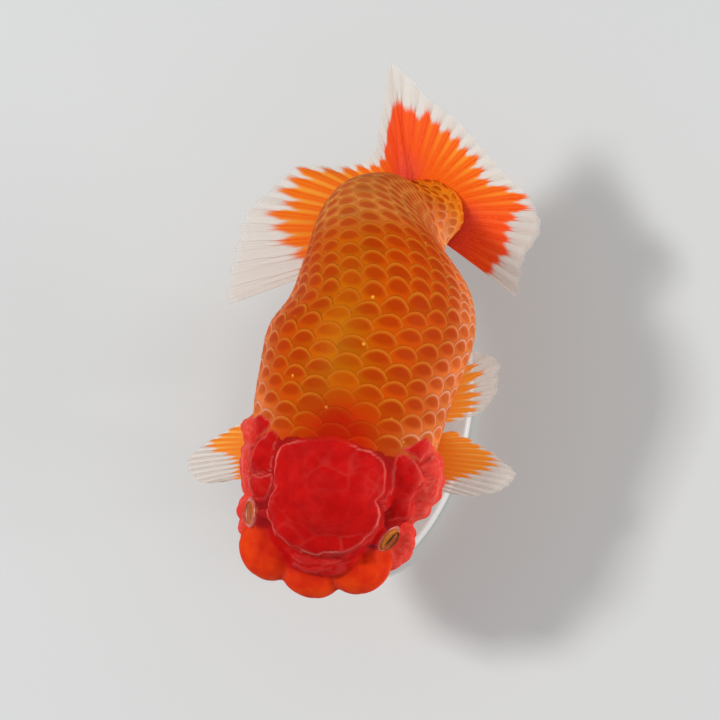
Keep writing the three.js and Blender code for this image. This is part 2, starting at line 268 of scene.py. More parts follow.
def add_node(tree: Tree, kind: str, settings: dict | None = None,
             inputs: dict | None = None) -> Node:
    """Adds a node with its settings and links.

    Args:
        tree: the material's or modifier's node tree.
        kind: the node's type name.
        settings: values for the node's own properties.
        inputs: for each input, by name or number, a value to set or a socket or node to link.

    Returns:
        The new node.
    """
    made = tree.nodes.new(kind)
    for key, value in (settings or {}).items():
        setattr(made, key, value)
    for key, value in (inputs or {}).items():
        value = value.outputs[0] if isinstance(value, Node) else value
        if isinstance(value, Socket):
            tree.links.new(value, made.inputs[key])
        else:
            made.inputs[key].default_value = value
    return made


def reckon(tree: Tree, way: str, *values: Socket | Node | float) -> Node:
    """Adds a sum on numbers, such as MULTIPLY."""
    return add_node(tree, "ShaderNodeMath", {"operation": way}, dict(enumerate(values)))


def reckon_vector(tree: Tree, way: str, *values: Socket | Node | tuple) -> Node:
    """Adds a sum on vectors, such as MULTIPLY_ADD."""
    return add_node(tree, "ShaderNodeVectorMath", {"operation": way}, dict(enumerate(values)))


def new_group(name: str, inputs: dict[str, str],
              output: str) -> tuple[Tree, bpy.types.NodeOutputs]:
    """An empty Geometry Nodes tree.

    Args:
        name: the tree's name.
        inputs: kind of each input by its name.
        output: name of the geometry that it makes.

    Returns:
        The tree and the sockets of its inputs.
    """
    tree = bpy.data.node_groups.new(name, "GeometryNodeTree")
    for label, kind in inputs.items():
        tree.interface.new_socket(label, in_out="INPUT", socket_type=f"NodeSocket{kind}")
    tree.interface.new_socket(output, in_out="OUTPUT", socket_type="NodeSocketGeometry")
    return tree, add_node(tree, "NodeGroupInput").outputs


def close_group(tree: Tree, geometry: Node, finish: Socket) -> Tree:
    """Ends a Geometry Nodes tree with its finish set and its output linked."""
    dressed = add_node(tree, "GeometryNodeSetMaterial", {}, {
        "Geometry": geometry, "Material": finish})
    add_node(tree, "NodeGroupOutput", {}, {0: dressed})
    return tree


def bake_nodes(thing: Piece, tree: Tree, values: dict[str, object]) -> Piece:
    """Runs a Geometry Nodes tree on an object and keeps the result as its plain mesh.

    Args:
        thing: the object that carries the input mesh.
        tree: the node tree.
        values: input values by socket name.

    Returns:
        The same object, with the made mesh and no modifier.
    """
    modifier = thing.modifiers.new(tree.name, "NODES")
    modifier.node_group = tree
    for item in tree.interface.items_tree:
        if item.in_out == "INPUT" and item.name in values:
            modifier[item.identifier] = values[item.name]
    bpy.context.view_layer.update()
    graph = bpy.context.evaluated_depsgraph_get()
    made = bpy.data.meshes.new_from_object(
        thing.evaluated_get(graph), preserve_all_data_layers=True, depsgraph=graph)
    thing.modifiers.remove(modifier)
    old, thing.data = thing.data, made
    made.name = thing.name
    bpy.data.meshes.remove(old)
    bpy.data.node_groups.remove(tree)
    return thing


def finish_piece(piece: Piece, nodes: list[str], finish: Finish | None = None) -> None:
    """Dresses a piece and rides it on the root body in place of its solids.

    Args:
        piece: the finished mesh object.
        nodes: the solids that it stands for.
        finish: its material, if its nodes haven't set it.
    """
    if finish:
        piece.data.materials.append(finish)
    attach(piece, "root")
    if nodes:
        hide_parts(*nodes)
    log.info("%s: %d faces", piece.name, len(piece.data.polygons))


# --------------------------------------------------------------------------- curves and forms


def four_round(rows: Array, place: Array) -> tuple[Array, ...]:
    """The rows round each place, where the ends run on straight.

    Args:
        rows: the rows of numbers.
        place: (n,) places counted in rows from 0.

    Returns:
        The share between the middle two rows (n, 1), and the four rows (n, values).
    """
    last = len(rows) - 1
    padded = np.vstack([2 * rows[0] - rows[1], rows, 2 * rows[-1] - rows[-2]])
    place = np.clip(place, 0.0, last)
    index = np.minimum(np.floor(place).astype(int), last - 1)
    return (place - index)[:, None], *(padded[index + k] for k in range(4))


def track(table: Rows, place: Array) -> Array:
    """Smooth values between rows of numbers that are evenly spaced in count.

    Args:
        table: the rows.
        place: (n,) places counted in rows from 0.

    Returns:
        (n, values) array.
    """
    t, a, b, c, d = four_round(np.array(table, float), place)
    return 0.5 * (2 * b + (c - a) * t + (2 * a - 5 * b + 4 * c - d) * t**2
                  + (3 * b - a - 3 * c + d) * t**3)


def strand(points: Array, share: Array) -> Array:
    """A smooth curve through points, spaced by the root of the distance between them.

    Args:
        points: (m, 3) points of the curve.
        share: (n,) shares of the curve from 0 to 1.

    Returns:
        (n, 3) points.
    """
    t, a, b, c, d = four_round(points, np.clip(share, 0.0, 1.0) * (len(points) - 1))
    before, here, after = (np.sqrt(np.linalg.norm(stop - start, axis=1))[:, None]
                           for start, stop in ((a, b), (b, c), (c, d)))
    start = (b - a) / before - (c - a) / (before + here) + (c - b) / here
    stop = (c - b) / here - (d - b) / (here + after) + (d - c) / after
    start, stop = start * here, stop * here
    return (b + start * t + (3 * (c - b) - 2 * start - stop) * t**2
            + (2 * (b - c) + start + stop) * t**3)


@dataclass(frozen=True)
class BodyForm:
    """The egg-shaped body as cross-sections along a bent spine.

    A station holds the middle of the section, its half width, its reach above and below,
    its lean back and roll in degrees, and how much its upper half narrows.
    """

    stations: Rows = (
        (0.4, -52.5, -7.0, 10.0, 9.0, 9.5, 0, 0, 0.0),
        (0.6, -48.5, -6.5, 12.0, 10.5, 12.0, 0, 0, 0.0),
        (0.9, -44.0, -5.5, 14.5, 14.0, 15.0, 0, 0, 0.0),
        (1.1, -37.0, -4.2, 16.6, 17.5, 19.0, 0, 0, 0.0),
        (1.4, -29.0, -3.0, 19.5, 21.5, 22.5, 0, 0, 0.0),
        (1.8, -20.0, -2.0, 22.6, 24.5, 25.5, 0, 0, 0.02),
        (2.0, -11.0, -1.5, 24.1, 27.0, 28.0, 0, 0, 0.03),
        (2.5, -1.0, -1.0, 24.9, 29.0, 29.5, 0, 0, 0.04),
        (3.6, 9.0, -1.0, 25.8, 30.0, 30.0, 0, 0, 0.05),
        (5.7, 17.0, -1.5, 24.3, 29.7, 29.0, 3, 0, 0.1),
        (5.3, 26.2, -3.5, 22.2, 28.6, 26.0, 20, -9, 0.1),
        (3.8, 32.6, -6.5, 18.8, 26.0, 21.0, 36, -21, 0.09),
        (4.7, 36.2, -9.8, 14.6, 21.8, 15.5, 48, -20, 0.13),
        (5.9, 41.4, -13.0, 12.2, 17.2, 11.0, 45, -19, 0.15),
        (8.8, 46.6, -15.3, 12.5, 12.1, 8.6, 30, -19, 0.1),
        (9.5, 51.0, -15.8, 10.8, 9.0, 7.6, 15, -20, 0.04),
        (10.0, 56.5, -15.6, 8.8, 7.5, 6.8, 0, -20, 0.0),
    )
    belly_lean: float = 0.3
    head_stations: float = 7.0
    search_steps: int = 26

    @property
    def last(self) -> int:
        """Number of the last station."""
        return len(self.stations) - 1

    def centre(self, place: Array) -> Array:
        """Middles of the sections at places counted in stations."""
        return track(self.stations, place)[:, :3]

    def offset(self, place: Array, turn: Array, grow: Array | float) -> Array:
        """Skin points seen from the middle of their section.

        Args:
            place: (n,) places counted in stations.
            turn: (n,) angles round the section from the ridge towards the fish's left.
            grow: millimetres to grow the form by.

        Returns:
            (n, 3) offsets.
        """
        width, up, down, lean, roll, crest = track(self.stations, place)[:, 3:].T
        inward = np.minimum(1.0, np.minimum(place, self.last - place))
        draw = np.sqrt(np.maximum(0.0, 1.0 - (1.0 - inward) ** 2))
        height = np.cos(turn)
        reach = (np.where(height > 0, up, down) + grow) * height * draw
        narrow = 1.0 - crest * np.maximum(0.0, height)
        tilt = np.radians(lean * (self.belly_lean + (1 - self.belly_lean) * (1 + height) / 2))
        side = np.sin(turn) * (width + grow) * narrow * draw
        back, rise = reach * np.sin(tilt), reach * np.cos(tilt)
        c, s = np.cos(np.radians(roll)), np.sin(np.radians(roll))
        return np.stack([side * c + rise * s, back, rise * c - side * s], 1)

    def reach(self, origin: Array, direction: Array, farthest: float = 45.0) -> Array:
        """Distance along rays through the head to the body's own surface.

        Args:
            origin: (3,) start inside the head.
            direction: (n, 3) unit vectors.
            farthest: a distance that is surely outside.

        Returns:
            (n,) distances.
        """
        places = np.linspace(0.0, self.head_stations, 400)
        table = track(self.stations, places)
        low, high = np.zeros(len(direction)), np.full(len(direction), farthest)
        for _ in range(self.search_steps):
            middle = (low + high) / 2
            point = origin + direction * middle[:, None]
            place = np.interp(point[:, 1], table[:, 1], places)
            x, _, z, width, up, down = (np.interp(place, places, table[:, k]) for k in range(6))
            inward = np.minimum(1.0, place)
            draw = np.sqrt(np.maximum(1e-6, 1.0 - (1.0 - inward) ** 2))
            tall = np.where(point[:, 2] > z, up, down)
            form = ((point[:, 0] - x) / (width * draw)) ** 2 + (
                (point[:, 2] - z) / (tall * draw)) ** 2
            outside = (form > 1.0) | (point[:, 1] < table[0, 1])
            high = np.where(outside, middle, high)
            low = np.where(outside, low, middle)
        return (low + high) / 2


class Region(Enum):
    """Parts of the head's growth, by their colour."""

    CAP = "cap"
    SNOUT = "snout"
    LIP = "lip"


@dataclass(frozen=True)
class Growth:
    """One swollen part of the head: balls of (x, y, z, radius) that run into each other."""

    balls: Rows
    region: Region = Region.CAP
    melt: float = 1.2


GROWTHS = (
    Growth(((3.6, -29.0, 12.0, 12.4), (-6.6, -23.6, 11.5, 6.6), (10.6, -22.6, 11.5, 7.0),  # crown
            (-6.6, -32.6, 11.0, 6.6), (-3.6, -39.0, 9.6, 6.4), (1.6, -41.0, 8.6, 6.6),
            (8.0, -39.6, 8.8, 6.6), (11.0, -34.0, 10.4, 6.4), (11.4, -28.0, 11.2, 6.4))),
    Growth(((18.0, -20.4, 6.0, 6.4), (17.8, -28.6, 3.6, 5.4), (17.0, -32.2, 2.2, 5.0))),
    Growth(((21.4, -17.6, 0.6, 6.2), (22.2, -22.6, -4.0, 6.4), (20.6, -27.8, -4.6, 6.0))),
    Growth(((20.4, -18.0, -9.0, 7.6), (15.6, -24.0, -15.0, 8.0))),  # left temple and gill cover
    Growth(((-14.8, -22.8, 6.0, 6.0), (-13.8, -29.4, 4.0, 5.2))),
    Growth(((-17.6, -17.4, 1.0, 6.0), (-17.0, -24.0, -3.6, 6.4), (-16.2, -29.4, -4.4, 6.0))),
    Growth(((-15.6, -17.8, -9.0, 7.4), (-12.0, -24.0, -15.0, 8.0))),  # the same on the right
    Growth(((19.4, -36.8, -5.6, 5.4), (17.4, -40.6, -8.4, 6.0))),  # cheeks
    Growth(((16.4, -34.6, -12.0, 6.4),)),
    Growth(((-17.0, -36.6, -5.2, 5.2), (-15.2, -41.0, -8.0, 6.0))),
    Growth(((-14.4, -34.8, -12.0, 6.4),)),
    Growth(((11.0, -46.6, -2.8, 6.8), (14.4, -43.2, -2.0, 5.4)), Region.SNOUT, 2.4),
    Growth(((-10.6, -47.2, -2.8, 6.6), (-13.8, -43.4, -2.0, 5.6)), Region.SNOUT, 2.4),
    Growth(((0.8, -49.8, -3.4, 5.8), (-3.4, -49.0, -3.6, 5.0), (3.8, -48.8, -3.2, 4.8)),
           Region.SNOUT, 2.0),
    Growth(((-1.6, -45.4, 3.8, 4.8), (3.2, -46.2, 4.0, 5.0), (7.2, -44.4, 4.4, 4.6)), melt=2.0),
    Growth(((0.2, -52.4, -9.2, 3.4), (-3.0, -51.0, -9.8, 2.9), (3.4, -51.0, -9.8, 2.9)),
           Region.LIP),
    Growth(((0.3, -48.6, -14.4, 4.2), (-4.0, -45.6, -15.2, 4.6), (4.6, -45.6, -15.2, 4.6)),
           Region.LIP),
)


@dataclass(frozen=True)
class Island:
    """A raised part of the growth seen from above: its outline in x, y.

    It rises to `rise` millimetres over a rounded shoulder of `shoulder` millimetres, and fades
    out below `floor` at `fade` millimetres for each millimetre of depth.
    """

    outline: Rows
    rise: float
    shoulder: float
    floor: float
    line: float = 1.0
    fade: float = 0.8

    def depth(self, points: Array) -> Array:
        """Distance inside the outline, negative outside and below the floor.

        Args:
            points: (n, 3) in the fish frame.

        Returns:
            Millimetres (n,).
        """
        flat = points[:, :2]
        nearest, inside = np.full(len(flat), np.inf), np.zeros(len(flat), bool)
        for (ax, ay), (bx, by) in zip(self.outline[-1:] + self.outline, self.outline):
            side, seen = np.array([bx - ax, by - ay]), flat - [ax, ay]
            share = np.clip(seen @ side / (side @ side), 0.0, 1.0)
            nearest = np.minimum(nearest, np.linalg.norm(seen - share[:, None] * side, axis=1))
            if by != ay:
                crosses = (ay > flat[:, 1]) != (by > flat[:, 1])
                meet = ax + (flat[:, 1] - ay) / (by - ay) * (bx - ax)
                inside ^= crosses & (flat[:, 0] < meet)
        below = np.maximum(0.0, self.floor - points[:, 2])
        return np.where(inside, nearest, -nearest) - self.fade * below


ISLANDS = (
    Island((  # crown
        (-4.6, -19.7), (-1.0, -18.6), (2.5, -18.2), (6.0, -18.6), (9.3, -19.2), (11.7, -19.7),
        (13.6, -20.3), (14.8, -21.4), (15.8, -23.1), (16.1, -25.8), (16.2, -28.3), (15.7, -30.0),
        (14.9, -31.0), (15.7, -32.2), (16.2, -34.1), (16.0, -36.5), (14.8, -38.8), (13.1, -41.1),
        (11.0, -43.1), (8.1, -44.6), (5.0, -45.5), (1.6, -45.9), (-2.1, -45.8), (-5.2, -44.9),
        (-8.2, -43.2), (-10.2, -41.5), (-10.9, -39.7), (-12.2, -38.8), (-13.0, -36.9),
        (-12.2, -36.0), (-11.8, -34.8), (-11.4, -33.1), (-10.4, -31.6), (-11.3, -29.8),
        (-11.9, -27.4), (-12.0, -25.3), (-11.6, -23.3), (-10.3, -21.4), (-7.9, -20.3),
    ), 1.5, 2.6, 3.0),
    Island((  # big lobe of the left temple
        (16.9, -20.4), (17.3, -18.6), (19.4, -17.9), (21.0, -18.6), (22.4, -20.3), (23.6, -21.4),
        (24.2, -22.6), (23.8, -24.4), (22.8, -26.4), (22.0, -28.2), (22.5, -30.2), (22.6, -31.9),
        (21.4, -33.2), (19.1, -33.7), (17.6, -34.3), (16.9, -33.0), (16.2, -31.8), (15.6, -31.0),
        (16.2, -30.0), (16.8, -28.0), (16.9, -26.0), (16.7, -23.6),
    ), 1.4, 2.2, -0.5, 0.55),
    Island((  # outer strip of the left gill cover
        (23.1, -19.9), (23.7, -18.2), (25.0, -16.6), (26.6, -16.6), (27.6, -18.6), (28.0, -21.8),
        (27.8, -24.6), (27.0, -27.9), (25.8, -30.4), (24.3, -31.9), (23.3, -30.6), (23.0, -28.8),
        (23.6, -27.0), (24.8, -24.6), (25.0, -22.2), (24.3, -20.9),
    ), 0.9, 1.2, -7.0, 0.8),
    Island((  # neck fold on the left
        (17.9, -17.6), (20.3, -15.2), (23.0, -12.4), (24.6, -13.4), (25.3, -15.5), (23.4, -17.0),
        (22.6, -18.9), (21.0, -17.9), (19.3, -17.3),
    ), 0.8, 1.2, 0.0, 0.6),
    Island((  # rear lobe on the right
        (-22.0, -14.8), (-17.8, -14.2), (-14.6, -16.0), (-14.2, -17.3), (-16.0, -18.6),
        (-17.7, -20.1), (-18.5, -22.3), (-20.4, -22.0), (-22.6, -19.8), (-22.8, -16.8),
    ), 1.1, 1.8, -4.0, 0.8),
    Island((  # big lobe of the right temple
        (-13.6, -17.5), (-12.2, -18.9), (-12.0, -20.9), (-12.7, -23.0), (-13.0, -25.0),
        (-12.8, -27.9), (-15.6, -28.5), (-18.7, -28.7), (-18.9, -25.5), (-18.5, -23.2),
        (-17.5, -20.8), (-15.7, -18.8),
    ), 1.4, 2.0, 0.0, 0.6),
    Island((  # lobe before the right temple
        (-18.7, -29.2), (-15.6, -28.9), (-12.6, -28.4), (-11.9, -30.5), (-12.7, -32.8),
        (-13.8, -34.5), (-16.6, -34.3), (-18.1, -32.8), (-18.8, -30.9),
    ), 1.2, 1.8, -1.0, 0.8),
    Island((  # outer strip on the right
        (-21.6, -21.0), (-19.8, -22.6), (-18.9, -23.6), (-19.3, -26.8), (-19.4, -29.0),
        (-18.9, -32.3), (-18.2, -33.7), (-18.9, -34.9), (-20.4, -32.2), (-21.4, -29.1),
        (-22.2, -25.7), (-22.6, -22.7),
    ), 0.9, 1.2, -6.0, 0.8),
    Island((  # upper fold of the brow
        (-5.3, -46.0), (-1.3, -46.7), (2.3, -46.7), (5.7, -46.1), (8.4, -45.1), (10.6, -43.9),
        (9.2, -45.6), (5.9, -47.2), (2.2, -48.1), (-1.5, -48.1), (-4.3, -47.4),
    ), 0.5, 0.8, 0.0, 0.3),
    Island((  # lower fold of the brow
        (-4.3, -48.0), (-0.9, -48.7), (2.1, -48.7), (4.9, -48.0), (6.8, -47.2), (5.2, -48.7),
        (2.2, -49.9), (-1.3, -49.9), (-3.9, -49.1),
    ), 0.45, 0.8, -1.0, 0.25),
)

# Low cushions on the growth, by how far they rise: x, y, z on or near the skin, radius.
PADS = {
    0.25: ((9.2, -25.7, 22.5, 7.6), (-1.2, -31.0, 22.7, 7.8), (1.4, -24.0, 22.9, 7.4),
        (-7.2, -26.0, 18.6, 3.3), (-10.4, -23.6, 16.7, 2.2), (-10.6, -28.0, 15.4, 2.2),
        (-5.8, -22.4, 19.9, 3.9), (3.4, -35.6, 21.9, 7.8), (11.6, -35.7, 18.5, 5.4),
        (-5.6, -40.0, 15.1, 4.6), (1.2, -43.0, 15.1, 4.4), (6.9, -42.4, 15.6, 4.4),
        (-11.8, -37.4, 7.5, 1.7)),
    0.4: ((-20.4, -24.4, 4.6, 1.8), (-19.8, -27.8, 1.2, 1.8), (-18.9, -31.4, 2.8, 1.7)),
    0.5: ((25.2, -18.0, 5.6, 2.3), (26.2, -21.8, 0.8, 2.3), (26.0, -26.0, -0.6, 2.3),
        (25.0, -30.0, -2.4, 2.0)),
    0.7: ((20.0, -42.9, -5.4, 1.7),),
    0.8: ((23.4, -34.5, -4.4, 2.0), (-21.4, -34.0, -3.4, 2.0), (-20.2, -41.8, -5.0, 2.0)),
    0.9: ((27.2, -20.6, -4.6, 2.6), (26.6, -25.0, -6.6, 2.6), (24.6, -29.4, -8.0, 2.6),
        (26.6, -16.0, -4.0, 2.6), (26.6, -16.6, -9.6, 3.0), (25.0, -22.6, -12.0, 3.2),
        (22.4, -28.6, -14.0, 3.2), (21.6, -21.0, -18.4, 3.6), (18.4, -27.0, -20.0, 3.6),
        (-22.2, -16.0, 0.6, 2.6), (-22.2, -21.0, -3.0, 2.6), (-21.8, -26.2, -4.6, 2.6),
        (-20.4, -31.0, -5.6, 2.4), (-22.0, -15.8, -6.4, 2.8), (-21.6, -21.6, -9.8, 3.2),
        (-19.0, -28.0, -12.8, 3.2), (-18.6, -20.6, -17.0, 3.6), (-15.4, -27.0, -19.6, 3.6),
        (21.7, -36.3, -1.6, 2.8), (20.7, -40.7, -3.4, 2.4), (23.0, -38.3, -4.0, 2.4),
        (22.0, -40.0, -8.4, 2.8), (22.0, -35.0, -10.0, 3.2), (18.8, -40.0, -13.4, 3.2),
        (-21.4, -37.7, -3.2, 2.2), (-19.8, -40.0, -9.4, 2.8), (-19.8, -34.6, -10.4, 3.2),
        (-16.6, -40.4, -13.4, 3.2)),
}


@dataclass(frozen=True)
class EyeForm:
    """Where an eye sits and how it is made, for one side of the head."""

    side: int
    ahead: float
    upward: float
    middle_x: float = 0.7
    out: float = 16.3
    y: float = -37.6
    z: float = 1.6
    ball: float = 3.5
    iris_ring: float = 3.0
    pupil: float = 1.25
    pupil_long: float = 1.55
    pupil_tall: float = 0.36
    # strength of the painted shade in the hollow beside this eye
    shade: float = 1.0
    rim_ring: float = 3.3
    rim_tube: float = 0.24

    @property
    def name(self) -> str:
        """The fish's own side in words."""
        return "left" if self.side > 0 else "right"

    @property
    def centre(self) -> Array:
        """Middle of the eyeball."""
        return np.array([self.middle_x + self.side * self.out, self.y, self.z])

    @property
    def axes(self) -> tuple[Array, Array, Array]:
        """The way the eye looks (outwards, a little forwards and up), and two square to it."""
        axis = unit(np.array([self.side * 0.8, -self.ahead, self.upward]))
        side = unit(np.cross(UP, axis))
        return axis, side, np.cross(axis, side)


EYES = (EyeForm(1, 0.47, 0.37, rim_tube=0.32),
        EyeForm(-1, 0.14, 0.42, shade=0.4, rim_ring=3.12, rim_tube=0.46))


@dataclass
class Skin:
    """The one skin of head, trunk and tail root, as rows of points from mouth to tail.

    `lobe_sizes` gives the size, height, groove width, seed and paleness of the small lobes, and
    `socket` the skin's level at distances from the eye's axis.
    """

    body: BodyForm = field(default_factory=BodyForm)
    head_place: float = 3.6
    mouth_way: tuple[float, float, float] = (-0.04, -0.955, -0.28)
    columns: int = 400
    cap_rows: int = 104
    growth_rows: int = 66
    trunk_rows: int = 66
    coat_depth: float = 0.55
    head_depth: float = 1.1
    pad_round: float = 2.5
    ragged: float = 0.46
    growth_fill: float = 0.6
    blush_fill: float = 1.5
    pad_fill: float = 0.16
    skirt: float = 1.7
    growth_end: float = 7.0
    cleft_depth: float = 1.5
    lobe_sizes: Rows = ((5.2, 0.1, 0.4, 3, 0.18), (2.2, 0.08, 0.26, 5, 0.12))
    socket: tuple[Spot, ...] = (
        (0.0, -0.6), (2.6, -0.6), (3.0, 0.4), (3.5, 1.1), (4.6, 1.4), (6.0, 1.2))

    def rows(self) -> tuple[Array, Array]:
        """Rows of the skin.

        Returns:
            For each row its place in stations, and the angle of its rays from the mouth's way
            (90 degrees from the head's middle on).
        """
        cap = np.linspace(0.0, 90.0, self.cap_rows, endpoint=False)
        near = np.linspace(self.head_place, self.growth_end, self.growth_rows, endpoint=False)
        ease = np.sin(np.linspace(0.0, 1.0, self.trunk_rows) * math.pi / 2) ** 0.9
        far = self.growth_end + (self.body.last - 1e-4 - self.growth_end) * ease
        place = np.concatenate([np.full(len(cap), self.head_place), near, far])
        return place, np.concatenate([cap, np.full(len(near) + len(far), 90.0)])

    def rays(self, columns: int, spread: float = 1.0) -> tuple[Array, Array, Array, Array]:
        """Rays from the spine out through the skin, which lies a little inside the solids.

        Args:
            columns: rays in a row.
            spread: turns covered by a row.

        Returns:
            Starts (n, 3), directions (n, 3), distances to the body form (n,), turns (n,).
        """
        place, angle = self.rows()
        turn = (np.arange(columns) / columns - 0.5) * 2 * math.pi * spread
        P, T = np.repeat(place, columns), np.tile(turn, len(place))
        A = np.radians(np.repeat(angle, columns))[:, None]
        start = self.body.centre(P)
        depth = self.head_depth + (self.coat_depth - self.head_depth) * smoothstep(
            -20.0, -15.0, start[:, 1])
        distance = np.linalg.norm(self.body.offset(P, T, -depth), axis=1)
        outward = unit(self.body.offset(P, T, 0.0))
        direction = unit(np.cos(A) * np.array(self.mouth_way) + np.sin(A) * outward)
        front = A[:, 0] < math.radians(89.9)
        distance[front] = self.body.reach(start[0], direction[front])
        return start, direction, distance, T

    def exits(self, start: Array, direction: Array, ball: tuple[float, ...]) -> Array:
        """Where rays leave a ball, or how far they fall short of it.

        Args:
            start: ray starts (n, 3).
            direction: ray directions (n, 3).
            ball: (x, y, z, radius).

        Returns:
            Distances (n,).
        """
        to_ball = np.array(ball[:3]) - start
        along = np.einsum("ij,ij->i", direction, to_ball)
        inside = ball[3] ** 2 - np.einsum("ij,ij->i", to_ball, to_ball) + along**2
        root = np.sqrt(np.abs(inside))
        return along + np.where(inside > 0, root, -self.skirt * root)

    def swell(self, start: Array, direction: Array, plain: Array) -> Array:
        """Distances to the body form and to each growth.

        Args:
            start: ray starts (n, 3).
            direction: ray directions (n, 3).
            plain: distances to the body form (n,).

        Returns:
            Distances (parts, n) with the body first.
        """
        reach = [plain]
        for growth in GROWTHS:
            hits = np.stack([self.exits(start, direction, ball) for ball in growth.balls])
            sink = self.head_depth * (1.0 if growth.region is Region.CAP else 0.35)
            reach.append(soft_top(hits, growth.melt) - sink)
        return np.stack(reach)

    def islands(self, points: Array) -> tuple[Array, Array, Array]:
        """Height of the growth's islands, their outlines and where they lie.

        Args:
            points: skin points (n, 3).

        Returns:
            Height, strength of the outlines, and depth in the nearest island (n,) each.
        """
        warp = np.stack([drift(points, 2.2, 61 + k) for k in range(3)], 1) * self.ragged
        patchy = np.clip(0.62 + 0.55 * drift(points, 3.0, 67), 0.1, 1.0)
        heights, lines, nearest = [np.zeros(len(points))], [], np.full(len(points), -9.0)
        for island in ISLANDS:
            depth = island.depth(points + warp)
            share = np.clip(depth / island.shoulder, 0.0, 1.0)
            arch = island.rise * np.sqrt(1.0 - (1.0 - share) ** 2)
            heights.append(np.where(depth > 0, arch, depth))
            lines.append(island.line * smoothstep(0.36, 0.08, np.abs(depth - 0.25)) * patchy)
            nearest = np.maximum(nearest, depth)
        return soft_top(np.stack(heights), self.pad_fill), np.max(lines, 0), nearest

    def cushions(self, points: Array) -> Array:
        """Heights of the low pads on the growth (pads + 1, n), with the bare growth first."""
        found = [np.zeros(len(points))]
        for rise, pads in PADS.items():
            for x, y, z, radius in pads:
                centre = points[int(np.argmin(((points - [x, y, z]) ** 2).sum(1)))]
                away = np.linalg.norm(points - centre, axis=1) / radius
                found.append(rise * (1.0 - away**self.pad_round))
        return np.stack(found)

    def steepness(self, values: Array, points: Array) -> Array:
        """How fast a number (n,) changes per millimetre along the skin points (n, 3).

        Args:
            values: one number for each skin point (n,).
            points: skin points (n, 3).

        Returns:
            Change per millimetre (n,).
        """
        grid, rows = (some.reshape(-1, self.columns, *some.shape[1:]) for some in (points, values))
        across = lambda some: (np.roll(some, -1, 1) - np.roll(some, 1, 1)) / 2
        long = np.linalg.norm(np.gradient(grid, axis=0), axis=2) + 1e-3
        wide = np.linalg.norm(across(grid), axis=2) + 1e-3
        return np.hypot(np.gradient(rows, axis=0) / long, across(rows) / wide).ravel()

    def seams(self, parts: Array, points: Array) -> Array:
        """Distance of each point in millimetres from the crease between its two topmost parts."""
        order = np.partition(parts, -2, axis=0)
        gap = order[-1] - order[-2]
        return gap / (self.steepness(gap, points) + 0.12)

    def shape(self, start: Array, direction: Array,
              plain: Array) -> tuple[Array, dict[str, Array]]:
        """Skin points with growths, pads and the soft creases between them.

        Args:
            start: ray starts (n, 3).
            direction: ray directions (n, 3).
            plain: distances to the body form (n,).

        Returns:
            Skin points (n, 3), and masks named cap, snout, lip, growth, crease, gap, blush
            and recess; gap is painted shade in the valleys between the growth's islands, and
            recess is painted shade in the hollow beside each eye.
        """
        parts = self.swell(start, direction, plain)
        base = soft_top(parts, self.growth_fill)
        points = start + direction * base[:, None]
        raised, _, nearest = self.islands(points)
        pads = self.cushions(points)
        skin = base + raised + soft_top(pads, self.pad_fill) - self.pad_fill
        points = start + direction * skin[:, None]
        _, lines, edge = self.islands(points)
        lines *= smoothstep(0.1, 0.4, self.steepness(edge, points))
        x, y, z = points.T
        shares = np.exp((parts - parts.max(0)) / self.blush_fill)
        shares /= shares.sum(0)
        masks = {region.value: shares[[k for k, growth in enumerate(GROWTHS, 1)
                                       if growth.region is region]].sum(0) for region in Region}
        padded, red = smoothstep(0.0, 0.2, pads.max(0)), smoothstep(-0.5, 0.3, nearest)
        masks["growth"] = np.maximum.reduce([
            smoothstep(-17.5, -21.0, y), padded, red,
            smoothstep(0.35, 0.75, masks["cap"] + masks["snout"] + masks["lip"])])
        masks["snout"] = masks["snout"] * (1 - 0.8 * padded) * (1 - red)
        masks["snout"] *= smoothstep(8.0, 3.0, z + 0.1 * np.abs(x - 1.0))
        nape = smoothstep(7.5, 4.0, np.abs(x - 0.3)) * smoothstep(-24.0, -21.0, y)
        folds = smoothstep(0.45, 0.05, self.seams(pads, points)) * padded
        joins = smoothstep(0.5, 0.05, self.seams(parts[1:], points))
        inland, near = smoothstep(0.3, 1.0, nearest), smoothstep(-3.4, -1.8, nearest)
        masks["crease"] = masks["growth"] * np.maximum.reduce([
            lines * (1 - 0.9 * nape), folds * (0.26 - 0.24 * inland),
            0.4 * joins * (1 - 0.8 * masks["snout"]) * (1 - near)])
        # gap: painted shade, dark red laid into the valleys between the growth's islands where
        # shade falls
        masks["gap"] = (smoothstep(0.1, -0.5, nearest) * smoothstep(-2.6, -1.4, nearest)
                        * smoothstep(-43.0, -40.0, y) * smoothstep(2.0, 5.0, z)
                        * smoothstep(-17.5, -21.0, y - 0.25 * np.abs(x - 2.0)))
        masks["blush"] = np.maximum(
            smoothstep(19.5, 23.5, np.abs(x - 2.0) + 0.3 * drift(points, 3.0, 68)),
            smoothstep(3.0, -2.0, z) * (1 - masks["snout"]))
        # recess: painted shade, a darker purplish patch in the hollow beside each eye
        shaded = []
        for eye in EYES:
            spot = eye.centre + [-eye.side * 3.6, 1.6, 2.2]
            far = np.linalg.norm((points - spot) * [1.0, 0.62, 0.6], axis=1)
            shaded.append(eye.shade * smoothstep(4.6, 1.8, far) * (1 - red))
        masks["recess"] = np.max(shaded, 0)
        masks["crease"] *= 1 - 0.7 * masks["recess"]
        return points, masks

